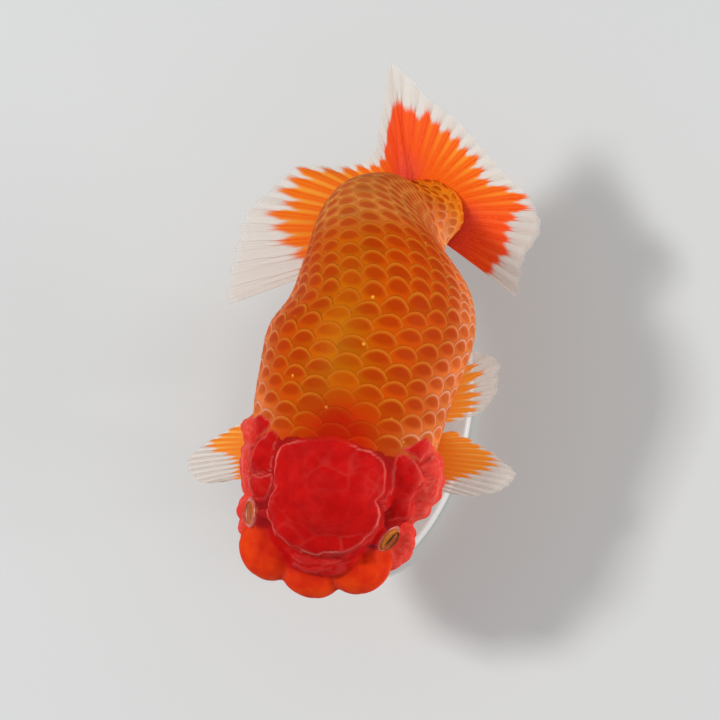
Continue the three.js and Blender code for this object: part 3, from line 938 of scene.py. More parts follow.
    def cauliflower(self, points: Array, masks: dict[str, Array]) -> Array:
        """Small lobes of the growth: their height, with their creases added to the masks.

        Args:
            points: skin points (n, 3).
            masks: the masks from `shape`; crease gains the small creases.

        Returns:
            Height in millimetres for each point.
        """
        warp = np.stack([drift(points, 6.0, 11 + k) for k in range(3)], 1)
        cap = np.clip(masks["cap"] - masks["snout"], 0.0, 1.0)
        calm = 1.0 - 0.75 * masks["snout"] - 0.6 * masks["lip"]
        height = np.zeros(len(points))
        for size, tall, groove, seed, pale in self.lobe_sizes:
            gap = lobes((points + warp * size * 0.5) * [0.6, 1.0, 1.0], size, seed)
            height += tall * (smoothstep(0.0, size * 0.26, gap) - 0.75) * calm
            patchy = smoothstep(-0.3, 0.6, drift(points, 7.0, seed + 20))
            line = smoothstep(groove, 0.0, gap) * patchy * cap
            masks["crease"] = np.maximum(masks["crease"], line * pale)
        return height * masks["growth"]

    def sink_eyes(self, points: Array) -> Array:
        """Opens a socket for each eye and raises the skin softly round it.

        Args:
            points: skin points (n, 3).

        Returns:
            The moved points (n, 3).
        """
        moved = points.copy()
        for eye in EYES:
            axis, seen = eye.axes[0], points - eye.centre
            height = seen @ axis
            far = np.linalg.norm(seen - height[:, None] * axis, axis=1)
            level = np.interp(far, *zip(*self.socket))
            pull = smoothstep(6.4, 3.9, far) * smoothstep(-6.5, -4.2, height)
            over = (level - height) * np.where(level > height, smoothstep(5.2, 3.8, far), 1.0)
            moved += axis * (over * pull)[:, None]
        return moved

    def cleft(self, points: Array) -> Array:
        """Strength of the cleft between the lips, (n,) from 0 to 1."""
        x, y, z = points.T
        near = np.exp(-(((z + 12.1 + 0.05 * x**2) / 0.75) ** 2))
        return near * smoothstep(5.4, 3.2, np.abs(x - 0.3)) * (y < -44.0)

    def build(self) -> tuple[Piece, Array]:
        """Makes the skin.

        Returns:
            The skin's object, and the share of the skin's length from the mouth to each row.
        """
        start, direction, plain, turn = self.rays(self.columns)
        points, masks = self.shape(start, direction, plain)
        grid = points.reshape(-1, self.columns, 3)
        around = (np.roll(grid, -1, 1) - np.roll(grid, 1, 1)) / 2
        normal = unit(np.cross(around, np.gradient(grid, axis=0))).reshape(-1, 3)
        # the cleft is sunk here and painted dark as shade in the material
        masks["cleft"] = self.cleft(points)
        height = self.cauliflower(points, masks) - self.cleft_depth * masks["cleft"]
        grid = self.sink_eyes(points + normal * height[:, None]).reshape(grid.shape)
        grid[0], grid[-1] = grid[0].mean(0), grid[-1].mean(0)
        steps = np.linalg.norm(np.diff(grid, axis=0), axis=2).mean(1)
        share = np.concatenate([[0.0], np.cumsum(steps)]) / steps.sum()
        rows, columns = grid.shape[:2]
        keep = np.r_[0, columns : (rows - 1) * columns, rows * columns - 1]
        points = grid.reshape(-1, 3)[keep]
        skin = new_object("skin", to_row(points), capped_faces(rows - 2, columns))
        corners = [corner for face in capped_corners(rows - 2, columns) for corner in face]
        store_uv(skin, "OFBake", shrink(np.array([(c / columns, share[r]) for r, c in corners])))
        store(skin, **{name: np.clip(mask[keep], 0.0, 1.0) for name, mask in masks.items()},
              **Markings().of(points, turn[keep]))
        return skin, share


def shrink(uv: Array) -> Array:
    """Draws an unwrap in from the picture's edge, alike for skin and scales."""
    return MARGIN + (1 - 2 * MARGIN) * uv


@dataclass(frozen=True)
class Markings:
    """Where the fish's colours lie; skin and scales read the same numbers."""

    ridge_x: float = 0.2
    ridge_lean: float = -0.08

    def of(self, points: Array, turn: Array) -> dict[str, Array]:
        """Strength of each marking.

        Args:
            points: (n, 3) in the fish frame.
            turn: (n,) angle round the body from the ridge.

        Returns:
            `tones` (flank, belly, olive) and `spots` (neck, root, tan), (n, 3) of 0 to 1.
        """
        x, y, z = points.T
        away = np.abs(turn)
        flank = smoothstep(0.7, 1.5, away + 0.12 * drift(points, 9.0, 41)
                           + 0.3 * smoothstep(-6.0, -15.0, y))
        belly = smoothstep(1.9, 2.7, away + 0.75 * smoothstep(0.0, 20.0, y))
        cloud = drift(points, 12.0, 42)
        olive = np.exp(-((x - self.ridge_x - self.ridge_lean * y) / 7.5) ** 2)
        olive *= smoothstep(-17.0, -7.0, y) * (1.0 - 0.4 * smoothstep(5.0, 22.0, y))
        olive *= smoothstep(0.0, 10.0, z) * np.clip(0.9 + 0.5 * cloud, 0.0, 1.0)
        neck = 1.4 * np.exp(-(((x - 3.4) / 8.5) ** 2) - ((y + 19.0) / 10.0) ** 2) * (z > 5.0)
        front = smoothstep(-14.0, -24.0, y) * smoothstep(2.4, 1.4, away)
        neck = np.clip(np.maximum(neck, 0.75 * front), 0.0, 1.0)
        root = smoothstep(40.0, 47.0, y - 0.75 * z - 9.0) * (1 - smoothstep(-3.0, 3.0, z))
        # tan: a real tan mark on the rear top, leaning onto the fish's left side as painted light
        # where that side turns away from the key lamp
        tan = smoothstep(33.0, 40.0, y - 0.2 * (x - 3.0)) * smoothstep(-8.0, 2.0, z)
        return {"tones": np.stack([flank, belly, olive], 1),
                "spots": np.stack([neck, root, tan], 1)}


# --------------------------------------------------------------------------- scales


def lengths(line: Array) -> Array:
    """Distance run along a line at each of its points."""
    return np.concatenate([[0.0], np.cumsum(np.linalg.norm(np.diff(line, axis=0), axis=1))])


@dataclass
class ScaleCoat:
    """Overlapping scales in rows that run along the body, half a scale out of step."""

    skin: Skin
    share: Array
    row_gap: float = 6.5
    pitch: float = 4.4
    half_width: float = 0.70
    length: float = 2.3
    lift: float = 0.2
    plate: float = 0.03
    nape_flat: float = 0.3
    points_round: int = 14
    round_lean: float = 0.42
    arch: float = 0.1
    side_gap: float = 0.3
    taper: Spot = (0.42, 0.86)
    pitch_taper: float = 0.36
    gap_taper: float = 0.44
    front_y: float = -27.5
    tuck: float = 0.5
    bed_columns: int = 180
    bed_spread: float = 1.12
    row_numbers: range = range(-30, 31)

    def bed(self) -> Piece:
        """The body form under the scales, with its unwrap, as a helper that is removed later.

        Returns:
            The helper.
        """
        start, direction, plain, turn = self.skin.rays(self.bed_columns, self.bed_spread)
        sink = self.tuck * smoothstep(-18.0, -21.0, (start + direction * plain[:, None])[:, 1])
        grid = (start + direction * (plain - sink)[:, None]).reshape(-1, self.bed_columns, 3)
        first = int(np.argmax(grid[:, :, 1].mean(1) > self.front_y - 4.0))
        grid = grid[first:]
        points = grid.reshape(-1, 3)
        columns = (np.arange(self.bed_columns) / self.bed_columns - 0.5) * self.bed_spread + 0.5
        helper = new_object("scale_bed", to_row(points), grid_faces(len(grid), self.bed_columns))
        unwrap = np.stack([np.tile(columns, len(grid)),
                           np.repeat(self.share[first:], self.bed_columns)], 1)
        store_uv(helper, "unwrap", unwrap[corner_points(helper)])
        store(helper, **Markings().of(points, turn[first * self.bed_columns:]))
        self.bed_grid, self.bed_u, self.bed_v = grid, columns, self.share[first:]
        return helper

    def template(self) -> Piece:
        """One scale as a thin closed plate: place across, place along and height per point.

        Returns:
            The plate, a helper that is removed later.
        """
        n = self.points_round
        angle = turns(n)
        angle = angle + self.round_lean * np.sin(angle)
        rings = ((0.0, 0), (0.55, 0), (0.94, 0), (1.0, 0), (0.6, 1), (0.0, 1))
        form, rim = [], []
        for reach, under in rings:
            around = angle if reach else np.zeros(1)
            a = reach * np.sin(around)
            b = 0.5 - 0.5 * reach * np.cos(around)
            tall = self.lift * b - self.arch * a**2 - self.plate * (reach > 0.99)
            form.append(np.stack([a, b, (tall - 2.0 * under * self.plate) * np.ones(len(a))], 1))
            rim.append(np.full(len(a), 1.0 if under else reach))
        points = np.vstack(form)
        faces = flipped(capped_faces(len(rings) - 2, n))
        plate = new_object("scale_plate", points * MM, faces)
        store(plate, form=points, rim=np.concatenate(rim))
        under = np.array([max(face) > 3 * n for face in faces])
        plate.data.polygons.foreach_set("use_smooth", ~under)
        beneath = np.repeat(under, [len(face) for face in faces])[:, None]
        flat = points[corner_points(plate)][:, :2]
        store_uv(plate, "patch", np.where(
            beneath, flat * [0.1, 0.8] + [0.34, -0.4], flat * [0.27, 0.8] + [-0.12, -0.4]))
        return plate

    def lattice(self) -> tuple[Array, Array, Array]:
        """Places of the scales.

        Returns:
            Root (u, v) and cell (across, along) of each on the unwrap, and root points.
        """
        grid, columns, v = self.bed_grid, self.bed_u, self.bed_v
        ridge = int(np.argmin(np.abs(columns - 0.5)))
        along, count = lengths(grid[:, ridge]), np.arange(len(grid))
        roots, cells, places = [], [], []
        at = 0.0
        while at < along[-1] - 3.0:
            taper = smoothstep(*self.taper, at / along[-1])
            pitch = self.pitch * (1.0 - self.pitch_taper * taper)
            gap = self.row_gap * (1.0 - self.gap_taper * taper)
            for half in (0, 1):
                spot = at + half * pitch / 2
                row = np.interp(spot, along, count)
                low = int(min(row, len(along) - 2))
                ring = grid[low] * (1 - (row - low)) + grid[low + 1] * (row - low)
                arc = lengths(ring)
                arc -= arc[ridge]
                right, left = np.interp([0.0, 1.0], columns, arc)
                spots = np.array([k * gap for k in self.row_numbers if k % 2 == half])
                rim = self.side_gap * gap
                spots = spots[(spots > right + rim) & (spots < left - rim)]
                v_here, v_next = np.interp(
                    [row, np.interp(spot + pitch, along, count)], count, v)
                u, before, after = (
                    np.interp(spots + k * gap / 2, arc, columns) for k in (0, -1, 1))
                roots += [(k, v_here) for k in u]
                cells += [(wide, v_next - v_here) for wide in after - before]
                places += [[np.interp(k, columns, ring[:, axis]) for axis in range(3)] for k in u]
            at += pitch
        return np.array(roots), np.array(cells), np.array(places)

    def tree(self) -> Tree:
        """The Geometry Nodes tree that lays a plate on the bed at every root.

        Returns:
            The tree.
        """
        tree, given = new_group("lay_scales", {
            "Roots": "Geometry", "Plate": "Object", "Bed": "Object", "Bed End": "Vector",
            "Half Width": "Float", "Length": "Float", "Nape": "Float", "Finish": "Material",
        }, "Scales")
        plate, bed = (add_node(tree, "GeometryNodeObjectInfo", {}, {
            "Object": given[name]}).outputs["Geometry"] for name in ("Plate", "Bed"))
        form, root, cell, unwrap, patch, tones, spots = (
            add_node(tree, "GeometryNodeInputNamedAttribute", {"data_type": "FLOAT_VECTOR"}, {
                "Name": name}) for name in (
                "form", "root", "cell", "unwrap", "patch", "tones", "spots"))
        laid = add_node(tree, "GeometryNodeInstanceOnPoints", {}, {
            "Points": given["Roots"], "Instance": plate})
        coat = add_node(tree, "GeometryNodeRealizeInstances", {}, {"Geometry": laid})
        form = add_node(tree, "ShaderNodeSeparateXYZ", {}, {0: form}).outputs
        spread = add_node(tree, "ShaderNodeCombineXYZ", {}, {
            "X": reckon(tree, "MULTIPLY", form["X"], given["Half Width"]),
            "Y": reckon(tree, "MULTIPLY", form["Y"], given["Length"])})
        spot = reckon_vector(tree, "MINIMUM", reckon_vector(
            tree, "MULTIPLY_ADD", spread, cell, root), given["Bed End"])
        base, out, tones, spots = (
            add_node(tree, "GeometryNodeSampleUVSurface", {"data_type": "FLOAT_VECTOR"}, {
                0: bed, 1: value, 2: unwrap, 3: spot}) for value in (
                add_node(tree, "GeometryNodeInputPosition"),
                add_node(tree, "GeometryNodeInputNormal"), tones, spots))
        neck = add_node(tree, "ShaderNodeSeparateXYZ", {}, {0: spots}).outputs["X"]
        flat = add_node(tree, "ShaderNodeMapRange", {}, {
            "Value": neck, "To Min": MM, "To Max": given["Nape"]})
        tall = reckon(tree, "MULTIPLY", form["Z"], flat)
        for name, value in (("tones", tones), ("spots", spots)):
            coat = add_node(
                tree, "GeometryNodeStoreNamedAttribute", {"data_type": "FLOAT_VECTOR"},
                {"Geometry": coat, "Name": name, "Value": value})
        coat = add_node(tree, "GeometryNodeSetPosition", {}, {
            "Geometry": coat, "Position": reckon_vector(tree, "MULTIPLY_ADD", out, tall, base)})
        place = reckon_vector(
            tree, "MULTIPLY_ADD", reckon_vector(tree, "MULTIPLY_ADD", patch, cell, root),
            (1 - 2 * MARGIN, 1 - 2 * MARGIN, 0.0), (MARGIN, MARGIN, 0.0))
        coat = add_node(
            tree, "GeometryNodeStoreNamedAttribute", {"data_type": "FLOAT2", "domain": "CORNER"},
            {"Geometry": coat, "Name": "OFBake", "Value": place})
        return close_group(tree, coat, given["Finish"])

    def build(self, finish: Finish) -> Piece:
        """Makes the coat of scales as one plain mesh.

        Args:
            finish: the scales' material.

        Returns:
            The finished object.
        """
        bed, plate = self.bed(), self.template()
        roots, cells, places = self.lattice()
        shown = places[:, 1] >= self.front_y + 0.12 * np.abs(places[:, 0] - 1.8)
        roots, cells, places = roots[shown], cells[shown], places[shown]
        points = new_object("scales", to_row(places), [])
        none = np.zeros(len(places))
        store(points, root=np.column_stack([roots, none]), cell=np.column_stack([cells, none]),
              seed=scatter(np.round(places * 7), 77)[:, 0])
        coat = bake_nodes(points, self.tree(), {
            "Plate": plate, "Bed": bed, "Half Width": self.half_width, "Length": self.length,
            "Bed End": (float(self.bed_u[-1]) - 1e-4, 1.0 - 1e-4, 0.0),
            "Nape": self.nape_flat * MM, "Finish": finish})
        for helper in (bed, plate):
            bpy.data.objects.remove(helper)
        log.info("%d scales", len(places))
        return coat


# --------------------------------------------------------------------------- eyes


@dataclass
class Eye:
    """One eye: a ball with a sunken iris, a clear cornea and a rim of skin."""

    form: EyeForm
    columns: int = 64
    lid_sides: int = 12
    dome_span: float = 128.0
    dome_rows: int = 26
    cornea_rows: int = 16
    cornea_span: float = 52.0
    lid_sink: float = 0.06
    lid_skirt: float = 1.9

    def ring(self, far: Array | float, tall: Array | float, angle: Array) -> Array:
        """Points at distances from the eye's axis and heights along it, (…, 3)."""
        axis, side, up = self.form.axes
        far, tall, angle = (some[..., None] for some in np.broadcast_arrays(far, tall, angle))
        return self.form.centre + axis * tall + far * (np.cos(angle) * side + np.sin(angle) * up)

    def turned(self, name: str, profile: list[Spot]) -> tuple[Piece, Array]:
        """A closed shape turned round the eye's axis.

        Args:
            name: the end of the piece's name.
            profile: (distance from the axis, height along it) from the back to the front.

        Returns:
            The new object and its points in the fish frame.
        """
        back, *inner, front = profile
        points = np.vstack([self.ring(*back, np.zeros(1)),
                            *(self.ring(*spot, turns(self.columns)) for spot in inner),
                            self.ring(*front, np.zeros(1))])
        faces = capped_faces(len(inner), self.columns)
        return new_object(f"eye_{self.form.name}_{name}", to_row(points), faces), points

    def ball(self) -> Piece:
        """The eyeball with its iris as a shallow cone round the deep pupil.

        Returns:
            The new object.
        """
        f = self.form
        dome = [(f.ball * math.sin(a), -f.ball * math.cos(a) * (0.5 if a < math.pi / 2 else 1.0))
                for a in np.linspace(0.0, math.radians(self.dome_span), self.dome_rows)]
        edge, height = dome[-1]
        iris = [(edge - 0.08, height - 0.18), (f.iris_ring - 0.25, height - 0.42),
                ((f.iris_ring + f.pupil) / 2, height - 0.52), (f.pupil, height - 0.5),
                (f.pupil - 0.1, height - 0.7), (f.pupil * 0.5, height - 0.95),
                (0.0, height - 1.0)]
        piece, points = self.turned("ball", dome + iris)
        axis, side, up = f.axes
        seen = points - f.centre
        tall, long, high = seen @ axis, seen @ side, seen @ up
        far = np.hypot(long, high)
        front = tall > 0.5
        oval = smoothstep(f.iris_ring, f.pupil, far) * front
        points = (points + side * (oval * long * (f.pupil_long - 1))[:, None]
                  + up * (oval * high * (f.pupil_tall - 1))[:, None])
        piece.data.vertices.foreach_set("co", to_row(points).ravel())
        angle = np.arctan2(high, long)
        store(piece, eye_place=np.stack([far, np.cos(angle), np.sin(angle)], 1), front=front)
        return piece

    def cornea(self) -> Piece:
        """The clear dome over the iris, closed by a nearly flat back.

        Returns:
            The new object.
        """
        outer = [(self.form.ball * 1.02 * math.sin(a), self.form.ball * 1.07 * math.cos(a))
                 for a in np.linspace(math.radians(self.cornea_span), 0.0, self.cornea_rows)]
        wide, low = outer[0]
        return self.turned("cornea", [(0.0, low + 0.02), (wide * 0.5, low + 0.01)] + outer)[0]

    def lid(self) -> Piece:
        """The ring of skin that closes round the ball.

        Returns:
            The new object.
        """
        f = self.form
        A, B = np.meshgrid(turns(self.columns), turns(self.lid_sides), indexing="ij")
        bulge = f.rim_tube * (1.0 + 0.16 * np.sin(3 * A + f.side) + 0.1 * np.sin(7 * A))
        far = f.rim_ring + 0.25 * np.cos(2 * A) + bulge * 1.15 * np.cos(B)
        rise = np.where(B > math.pi, self.lid_skirt, 1.0) * np.sin(B)
        tall = math.sqrt(f.ball**2 - f.rim_ring**2) - self.lid_sink + bulge * rise
        piece = new_object(f"eye_{f.name}_lid", to_row(self.ring(far, tall, A).reshape(-1, 3)),
                           flipped(grid_faces(self.columns, self.lid_sides, True)))
        store(piece, inner=smoothstep(0.2, -0.8, np.cos(B)).ravel())
        return piece


# --------------------------------------------------------------------------- fins


@dataclass(frozen=True)
class FinForm:
    """A fin between its root and its rim, and where its orange ends.

    `tint` gives the share of each ray's length that is orange, and `red` how far the orange
    leans to red, both evenly from the first ray to the last. Between rays the orange falls short
    by `spike`, a share of the ray's length, and from ray to ray it differs by `luck` spikes.
    """

    name: str
    nodes: tuple[str, ...]
    root: Array
    rim: Array
    rays: int
    bow: float
    tint: tuple[float, ...]
    spike: tuple[float, ...] = (0.1, 0.1)
    luck: float = 0.45
    red: tuple[float, ...] = (0.1, 0.1)
    inset: float = 0.018
    columns_per_ray: int = 10
    rows: int = 56

    def middle(self, t: Array, s: Array) -> Array:
        """Points on the fin's middle sheet.

        Args:
            t: (n,) share from the first ray to the last.
            s: (n,) share from root to rim.

        Returns:
            (n, 3) points in the fish frame.
        """
        start, stop = strand(self.root, t), strand(self.rim, t)
        point = start + (stop - start) * s[:, None]
        point[:, 2] += 4 * self.bow * s * (1 - s)
        return point

    def normal(self, t: Array, s: Array, near: float = 2e-3) -> Array:
        """Normals of the middle sheet, from points `near` each one."""
        across = self.middle(np.minimum(t + near, 1), s) - self.middle(np.maximum(t - near, 0), s)
        out = self.middle(t, np.minimum(s + near, 1)) - self.middle(t, np.maximum(s - near, 0))
        return unit(np.cross(across, out))

    def wave(self, t: Array, waves: int = 1) -> Array:
        """0 midway between two rays, up and down again `waves` times from ray to ray."""
        return 0.5 - 0.5 * np.cos(2 * waves * math.pi * self.rays * t)

    def along(self, values: tuple[float, ...], t: Array) -> Array:
        """Values given evenly from the first ray to the last, at each share `t`."""
        return np.interp(t, np.linspace(0.0, 1.0, len(values)), values)

    def pigment(self, t: Array, s: Array) -> Array:
        """Strength of the orange, with a spike along every ray.

        Args:
            t: (n,) share from the first ray to the last.
            s: (n,) share from root to rim.

        Returns:
            (n,) numbers from 0 to 1.
        """
        number = np.floor(self.rays * t)
        luck = scatter(np.stack([number, number * 0, number * 0 + self.rays], 1), 9)[:, 0]
        inner = (t > 0.5 / self.rays) & (t < 1 - 0.5 / self.rays)
        wave = np.where(inner, self.wave(t), 1.0)
        edge = self.along(self.tint, t) + self.along(self.spike, t) * (
            wave**0.8 - 0.8 + 2 * self.luck * (luck - 0.5) + 0.3 * (self.wave(t, 4) - 0.5))
        return smoothstep(edge + 0.03, edge - 0.05, s)


@dataclass
class Fin:
    """A fin's clear web and its branching rays."""

    form: FinForm
    web_root: float = 0.5
    web_rim: float = 0.1
    pleat: float = 0.14
    fray: float = 0.015
    fray_size: float = 2.4
    row_ease: float = 0.85
    ray_root: float = 0.36
    ray_rim: float = 0.12
    ray_end: float = 0.975
    ray_sides: int = 6
    ray_steps: int = 9
    splits: tuple[tuple[float, float, tuple[float, ...]], ...] = (
        (0.0, 1.0, (0.0,)), (0.42, 0.72, (-0.16, 0.16)), (0.7, 0.5, (-0.24, -0.08, 0.08, 0.24)))

    def web(self) -> Piece:
        """The thin web with its orange, as a closed sheet pleated between the rays.

        Returns:
            The new object.
        """
        f = self.form
        rows, columns = f.rows, f.rays * f.columns_per_ray + 1
        S, T = (some.ravel() for some in np.meshgrid(
            np.linspace(0, 1, rows) ** self.row_ease, np.linspace(0, 1, columns), indexing="ij"))
        wave = f.wave(T)
        frayed = drift(np.stack([T * 40, T * 0, T * 0], 1), self.fray_size, 31)
        notch = 1.0 - f.inset * (1 - wave) - self.fray * (1 + frayed)
        middle, normal = f.middle(T, S * notch), f.normal(T, np.minimum(S, 0.98))
        pleat = self.pleat * np.sin(2 * math.pi * f.rays * T + 0.6) * S
        middle = middle + normal * pleat[:, None]
        thick = (self.web_root + (self.web_rim - self.web_root) * np.sqrt(S)) / 2
        top, low = middle + normal * thick[:, None], middle - normal * thick[:, None]
        size, quads = rows * columns, grid_faces(rows, columns)
        numbers = np.arange(size).reshape(rows, columns)
        edge = np.concatenate([numbers[0], numbers[1:, -1], numbers[-1, -2::-1],
                               numbers[-2:0:-1, 0]]).tolist()
        faces = [quad[::-1] for quad in quads] + [tuple(i + size for i in q) for q in quads]
        faces += [(here, there, there + size, here + size)
                  for here, there in zip(edge, edge[1:] + edge[:1])]
        piece = new_object(f"{f.name}_web", to_row(np.vstack([top, low])), faces)
        marks = {"pigment": f.pigment(T, S), "along": S, "ray": wave, "twig": f.wave(T, 4),
                 "red": f.along(f.red, T)}
        store(piece, **{name: np.tile(values, 2) for name, values in marks.items()})
        face_outward(piece)
        return piece

    def ray_lines(self) -> tuple[Array, Faces, Array, Array, Array]:
        """Branching lines of the rays.

        Returns:
            Points, edges, and for each point the radius in millimetres, the share of the ray's
            length and the share from the first ray to the last.
        """
        f, parts, edges = self.form, [], []
        width = 1.0 / f.rays
        stops = [start for start, _, _ in self.splits[1:]] + [self.ray_end]
        for number in range(f.rays):
            parents = (0.0,)
            for (start, girth, shifts), stop in zip(self.splits, stops):
                overlap = 0.02 if stop < self.ray_end else 0.0
                s = np.linspace(start, stop + overlap, self.ray_steps)
                ease = smoothstep(start, start + 0.14, s)
                size = self.ray_root + (self.ray_rim - self.ray_root) * s**0.7
                for shift in shifts:
                    parent = min(parents, key=lambda known: abs(known - shift))
                    t = (number + 0.5) * width + width * (parent + (shift - parent) * ease)
                    first = self.ray_steps * len(parts)
                    edges += [(first + k, first + k + 1) for k in range(self.ray_steps - 1)]
                    parts.append(np.column_stack([
                        f.middle(t, s), size * girth * (1 - 0.5 * (s > 0.96)), s, t]))
                parents = shifts
        table = np.vstack(parts)
        return table[:, :3], edges, *table[:, 3:].T

    def tree(self) -> Tree:
        """The Geometry Nodes tree that turns the ray lines into tapering rods.

        Returns:
            The tree.
        """
        tree, given = new_group("grow_rays", {
            "Lines": "Geometry", "Sides": "Int", "Girth": "Float", "Finish": "Material"}, "Rays")
        radius = add_node(tree, "GeometryNodeInputNamedAttribute", {"data_type": "FLOAT"}, {
            "Name": "girth"})
        curve = add_node(tree, "GeometryNodeMeshToCurve", {}, {0: given["Lines"]})
        sized = add_node(tree, "GeometryNodeSetCurveRadius", {}, {
            "Curve": curve, "Radius": reckon(tree, "MULTIPLY", radius, given["Girth"])})
        profile = add_node(tree, "GeometryNodeCurvePrimitiveCircle", {}, {
            "Resolution": given["Sides"], "Radius": 1.0})
        rods = add_node(tree, "GeometryNodeCurveToMesh", {}, {
            "Curve": sized, "Profile Curve": profile, "Fill Caps": True,
            "Scale": add_node(tree, "GeometryNodeInputRadius")})
        real = add_node(tree, "GeometryNodeRealizeInstances", {}, {0: rods})
        return close_group(tree, real, given["Finish"])

    def rays(self, finish: Finish) -> Piece:
        """The rays as tapering rods that split towards the rim.

        Args:
            finish: their material.

        Returns:
            The new object.
        """
        f = self.form
        points, edges, girth, s, t = self.ray_lines()
        lines = new_object(f"{f.name}_rays", to_row(points), [], edges)
        middle = (np.floor(t * f.rays) + 0.5) / f.rays
        store(lines, girth=girth, along=s, red=f.along(f.red, t),
              pigment=f.pigment(middle, s - 0.02))
        made = bake_nodes(lines, self.tree(), {
            "Sides": self.ray_sides, "Girth": MM, "Finish": finish})
        made.data.shade_smooth()
        return made


def face_outward(piece: Piece) -> None:
    """Turns the faces of a closed mesh outwards if its volume comes out negative."""
    work = bmesh.new()
    work.from_mesh(piece.data)
    bmesh.ops.recalc_face_normals(work, faces=work.faces)
    if work.calc_volume(signed=True) < 0:
        bmesh.ops.reverse_faces(work, faces=work.faces)
    work.to_mesh(piece.data)
    work.free()


def polar(middle: Spot, rows: Rows | Array) -> Array:
    """Points from (bearing in degrees, reach across, reach along, height) round a middle."""
    bearing, across, along, height = np.array(rows).T
    angle = np.radians(bearing)
    return np.stack([middle[0] + np.sin(angle) * across, middle[1] + np.cos(angle) * along,
                     height], 1)


@dataclass(frozen=True)
class TailHalf:
    """One half of the tail, drawn by bearings and reaches round the tail root.

    `rim` holds (bearing in degrees, reach, height), and `tips` where the orange ends, as
    (bearing, reach) by rising bearing seen from `tips_from`.
    """

    name: str
    bearings: Spot
    rim_rows: Rows
    tips: Rows
    rays: int
    spike: tuple[float, ...]
    luck: float
    red: tuple[float, ...]
    tips_from: Spot = (9.5, 46.5)
    middle: Spot = (9.5, 46.5)
    root_reach: Spot = (6.6, 6.2)
    root_heights: Spot = (-9.5, -19.5)
    root_points: int = 9
    bow: float = 1.6

    def orange(self, root: Array, rim: Array, count: int = 33) -> tuple[float, ...]:
        """Share of each ray that is orange.

        Args:
            root: the fin's root points.
            rim: the fin's rim points.
            count: number of shares.

        Returns:
            The shares from the first ray to the last.
        """
        bearings, reaches = np.array(self.tips).T
        s, found = np.linspace(0.0, 1.1, 111), []
        for t in np.linspace(0.0, 1.0, count):
            start, stop = strand(root, np.array([t])), strand(rim, np.array([t]))
            x, y = ((start + (stop - start) * s[:, None])[:, :2] - self.tips_from).T
            limit = np.interp(np.degrees(np.arctan2(x, y)), bearings, reaches)
            found.append(float(s[np.hypot(x, y) < limit].max(initial=0.0)))
        return tuple(found)

    def form(self) -> FinForm:
        """The half as a fin.

        Returns:
            Its form.
        """
        even = np.ones(self.root_points)
        root = polar(self.middle, np.column_stack([
            np.linspace(*self.bearings, self.root_points), even * self.root_reach[0],
            even * self.root_reach[1], np.linspace(*self.root_heights, self.root_points)]))
        rim = polar(self.middle, tuple((a, reach, reach, z) for a, reach, z in self.rim_rows))
        nodes = tuple(f"tail_{level}_lobe_{self.name}" for level in ("upper", "lower"))
        return FinForm(f"tail_{self.name}", nodes, root, rim, self.rays, self.bow,
                       self.orange(root, rim), self.spike, self.luck, self.red)


TAIL = (
    TailHalf(
        "left", (-58, 132),
        ((-20.5, 36.4, 8), (-4, 28.2, 0), (14, 25.0, -5), (33, 23.4, -9), (56, 24.2, -11),
         (73, 29.4, -13), (88, 31.4, -14), (104, 29.4, -17), (120, 33.0, -20)),
        ((-26, 27), (-17, 26.5), (-12, 22.8), (-8, 25.2), (-3, 24.9), (5, 22), (15, 20.8),
         (27, 20.5), (42, 20.2), (54, 20.1), (61, 22.3), (69, 26.7), (78, 28), (83, 24.6),
         (93, 24.3), (105, 24.9), (124, 22.9), (132, 20)),
        19, (0.02, 0.05, 0.07, 0.1, 0.13, 0.12, 0.05, 0.04, 0.03), 0.45,
        (1.0, 0.8, 0.45, 0.25, 0.2, 0.35, 0.7, 0.95, 1.0, 0.9)),
    TailHalf(
        "right", (-26, -164),
        ((-20.8, 36.6, 8.4), (-36, 24.0, -6), (-51, 20.8, -16), (-65, 25.4, -19),
         (-77, 35.6, -18), (-89, 41.0, -17), (-99, 46.4, -16), (-111, 50.6, -17),
         (-124, 56.6, -20)),
        ((-164, 26), (-120, 32.2), (-114, 34), (-110, 34.6), (-105, 34.2), (-100, 36),
         (-96, 32.4), (-90, 34.2), (-82, 33.6), (-75, 29.4), (-68, 23.8), (-58, 19.1),
         (-49, 16.6), (-43, 14.2), (-30, 14.8), (-20, 20.5), (-13, 26), (-8, 27)),
        17, (0.0, 0.01, 0.08, 0.12, 0.12, 0.12, 0.1, 0.08, 0.06, 0.06), 0.4,
        (1.0, 0.95, 0.4, 0.05, 0.0, 0.0, 0.05, 0.1, 0.2), tips_from=(5.0, 46.5)),
)


@dataclass(frozen=True)
class SmallFins:
    """A pair of small fins: root and rim of each, for the left and for the right."""

    name: str
    rays: int
    bow: float
    roots: tuple[Rows, Rows]
    rims: tuple[Rows, Rows]
    tints: tuple[tuple[float, ...], tuple[float, ...]]
    spike: tuple[float, ...] = (0.1, 0.1)

    def forms(self) -> list[FinForm]:
        """The two fins."""
        return [FinForm(f"{self.name}_{side}", (f"{self.name}_fin_{side}",), np.array(root),
                        np.array(rim), self.rays, self.bow, tint, self.spike)
                for side, root, rim, tint in zip(
                    ("left", "right"), self.roots, self.rims, self.tints)]


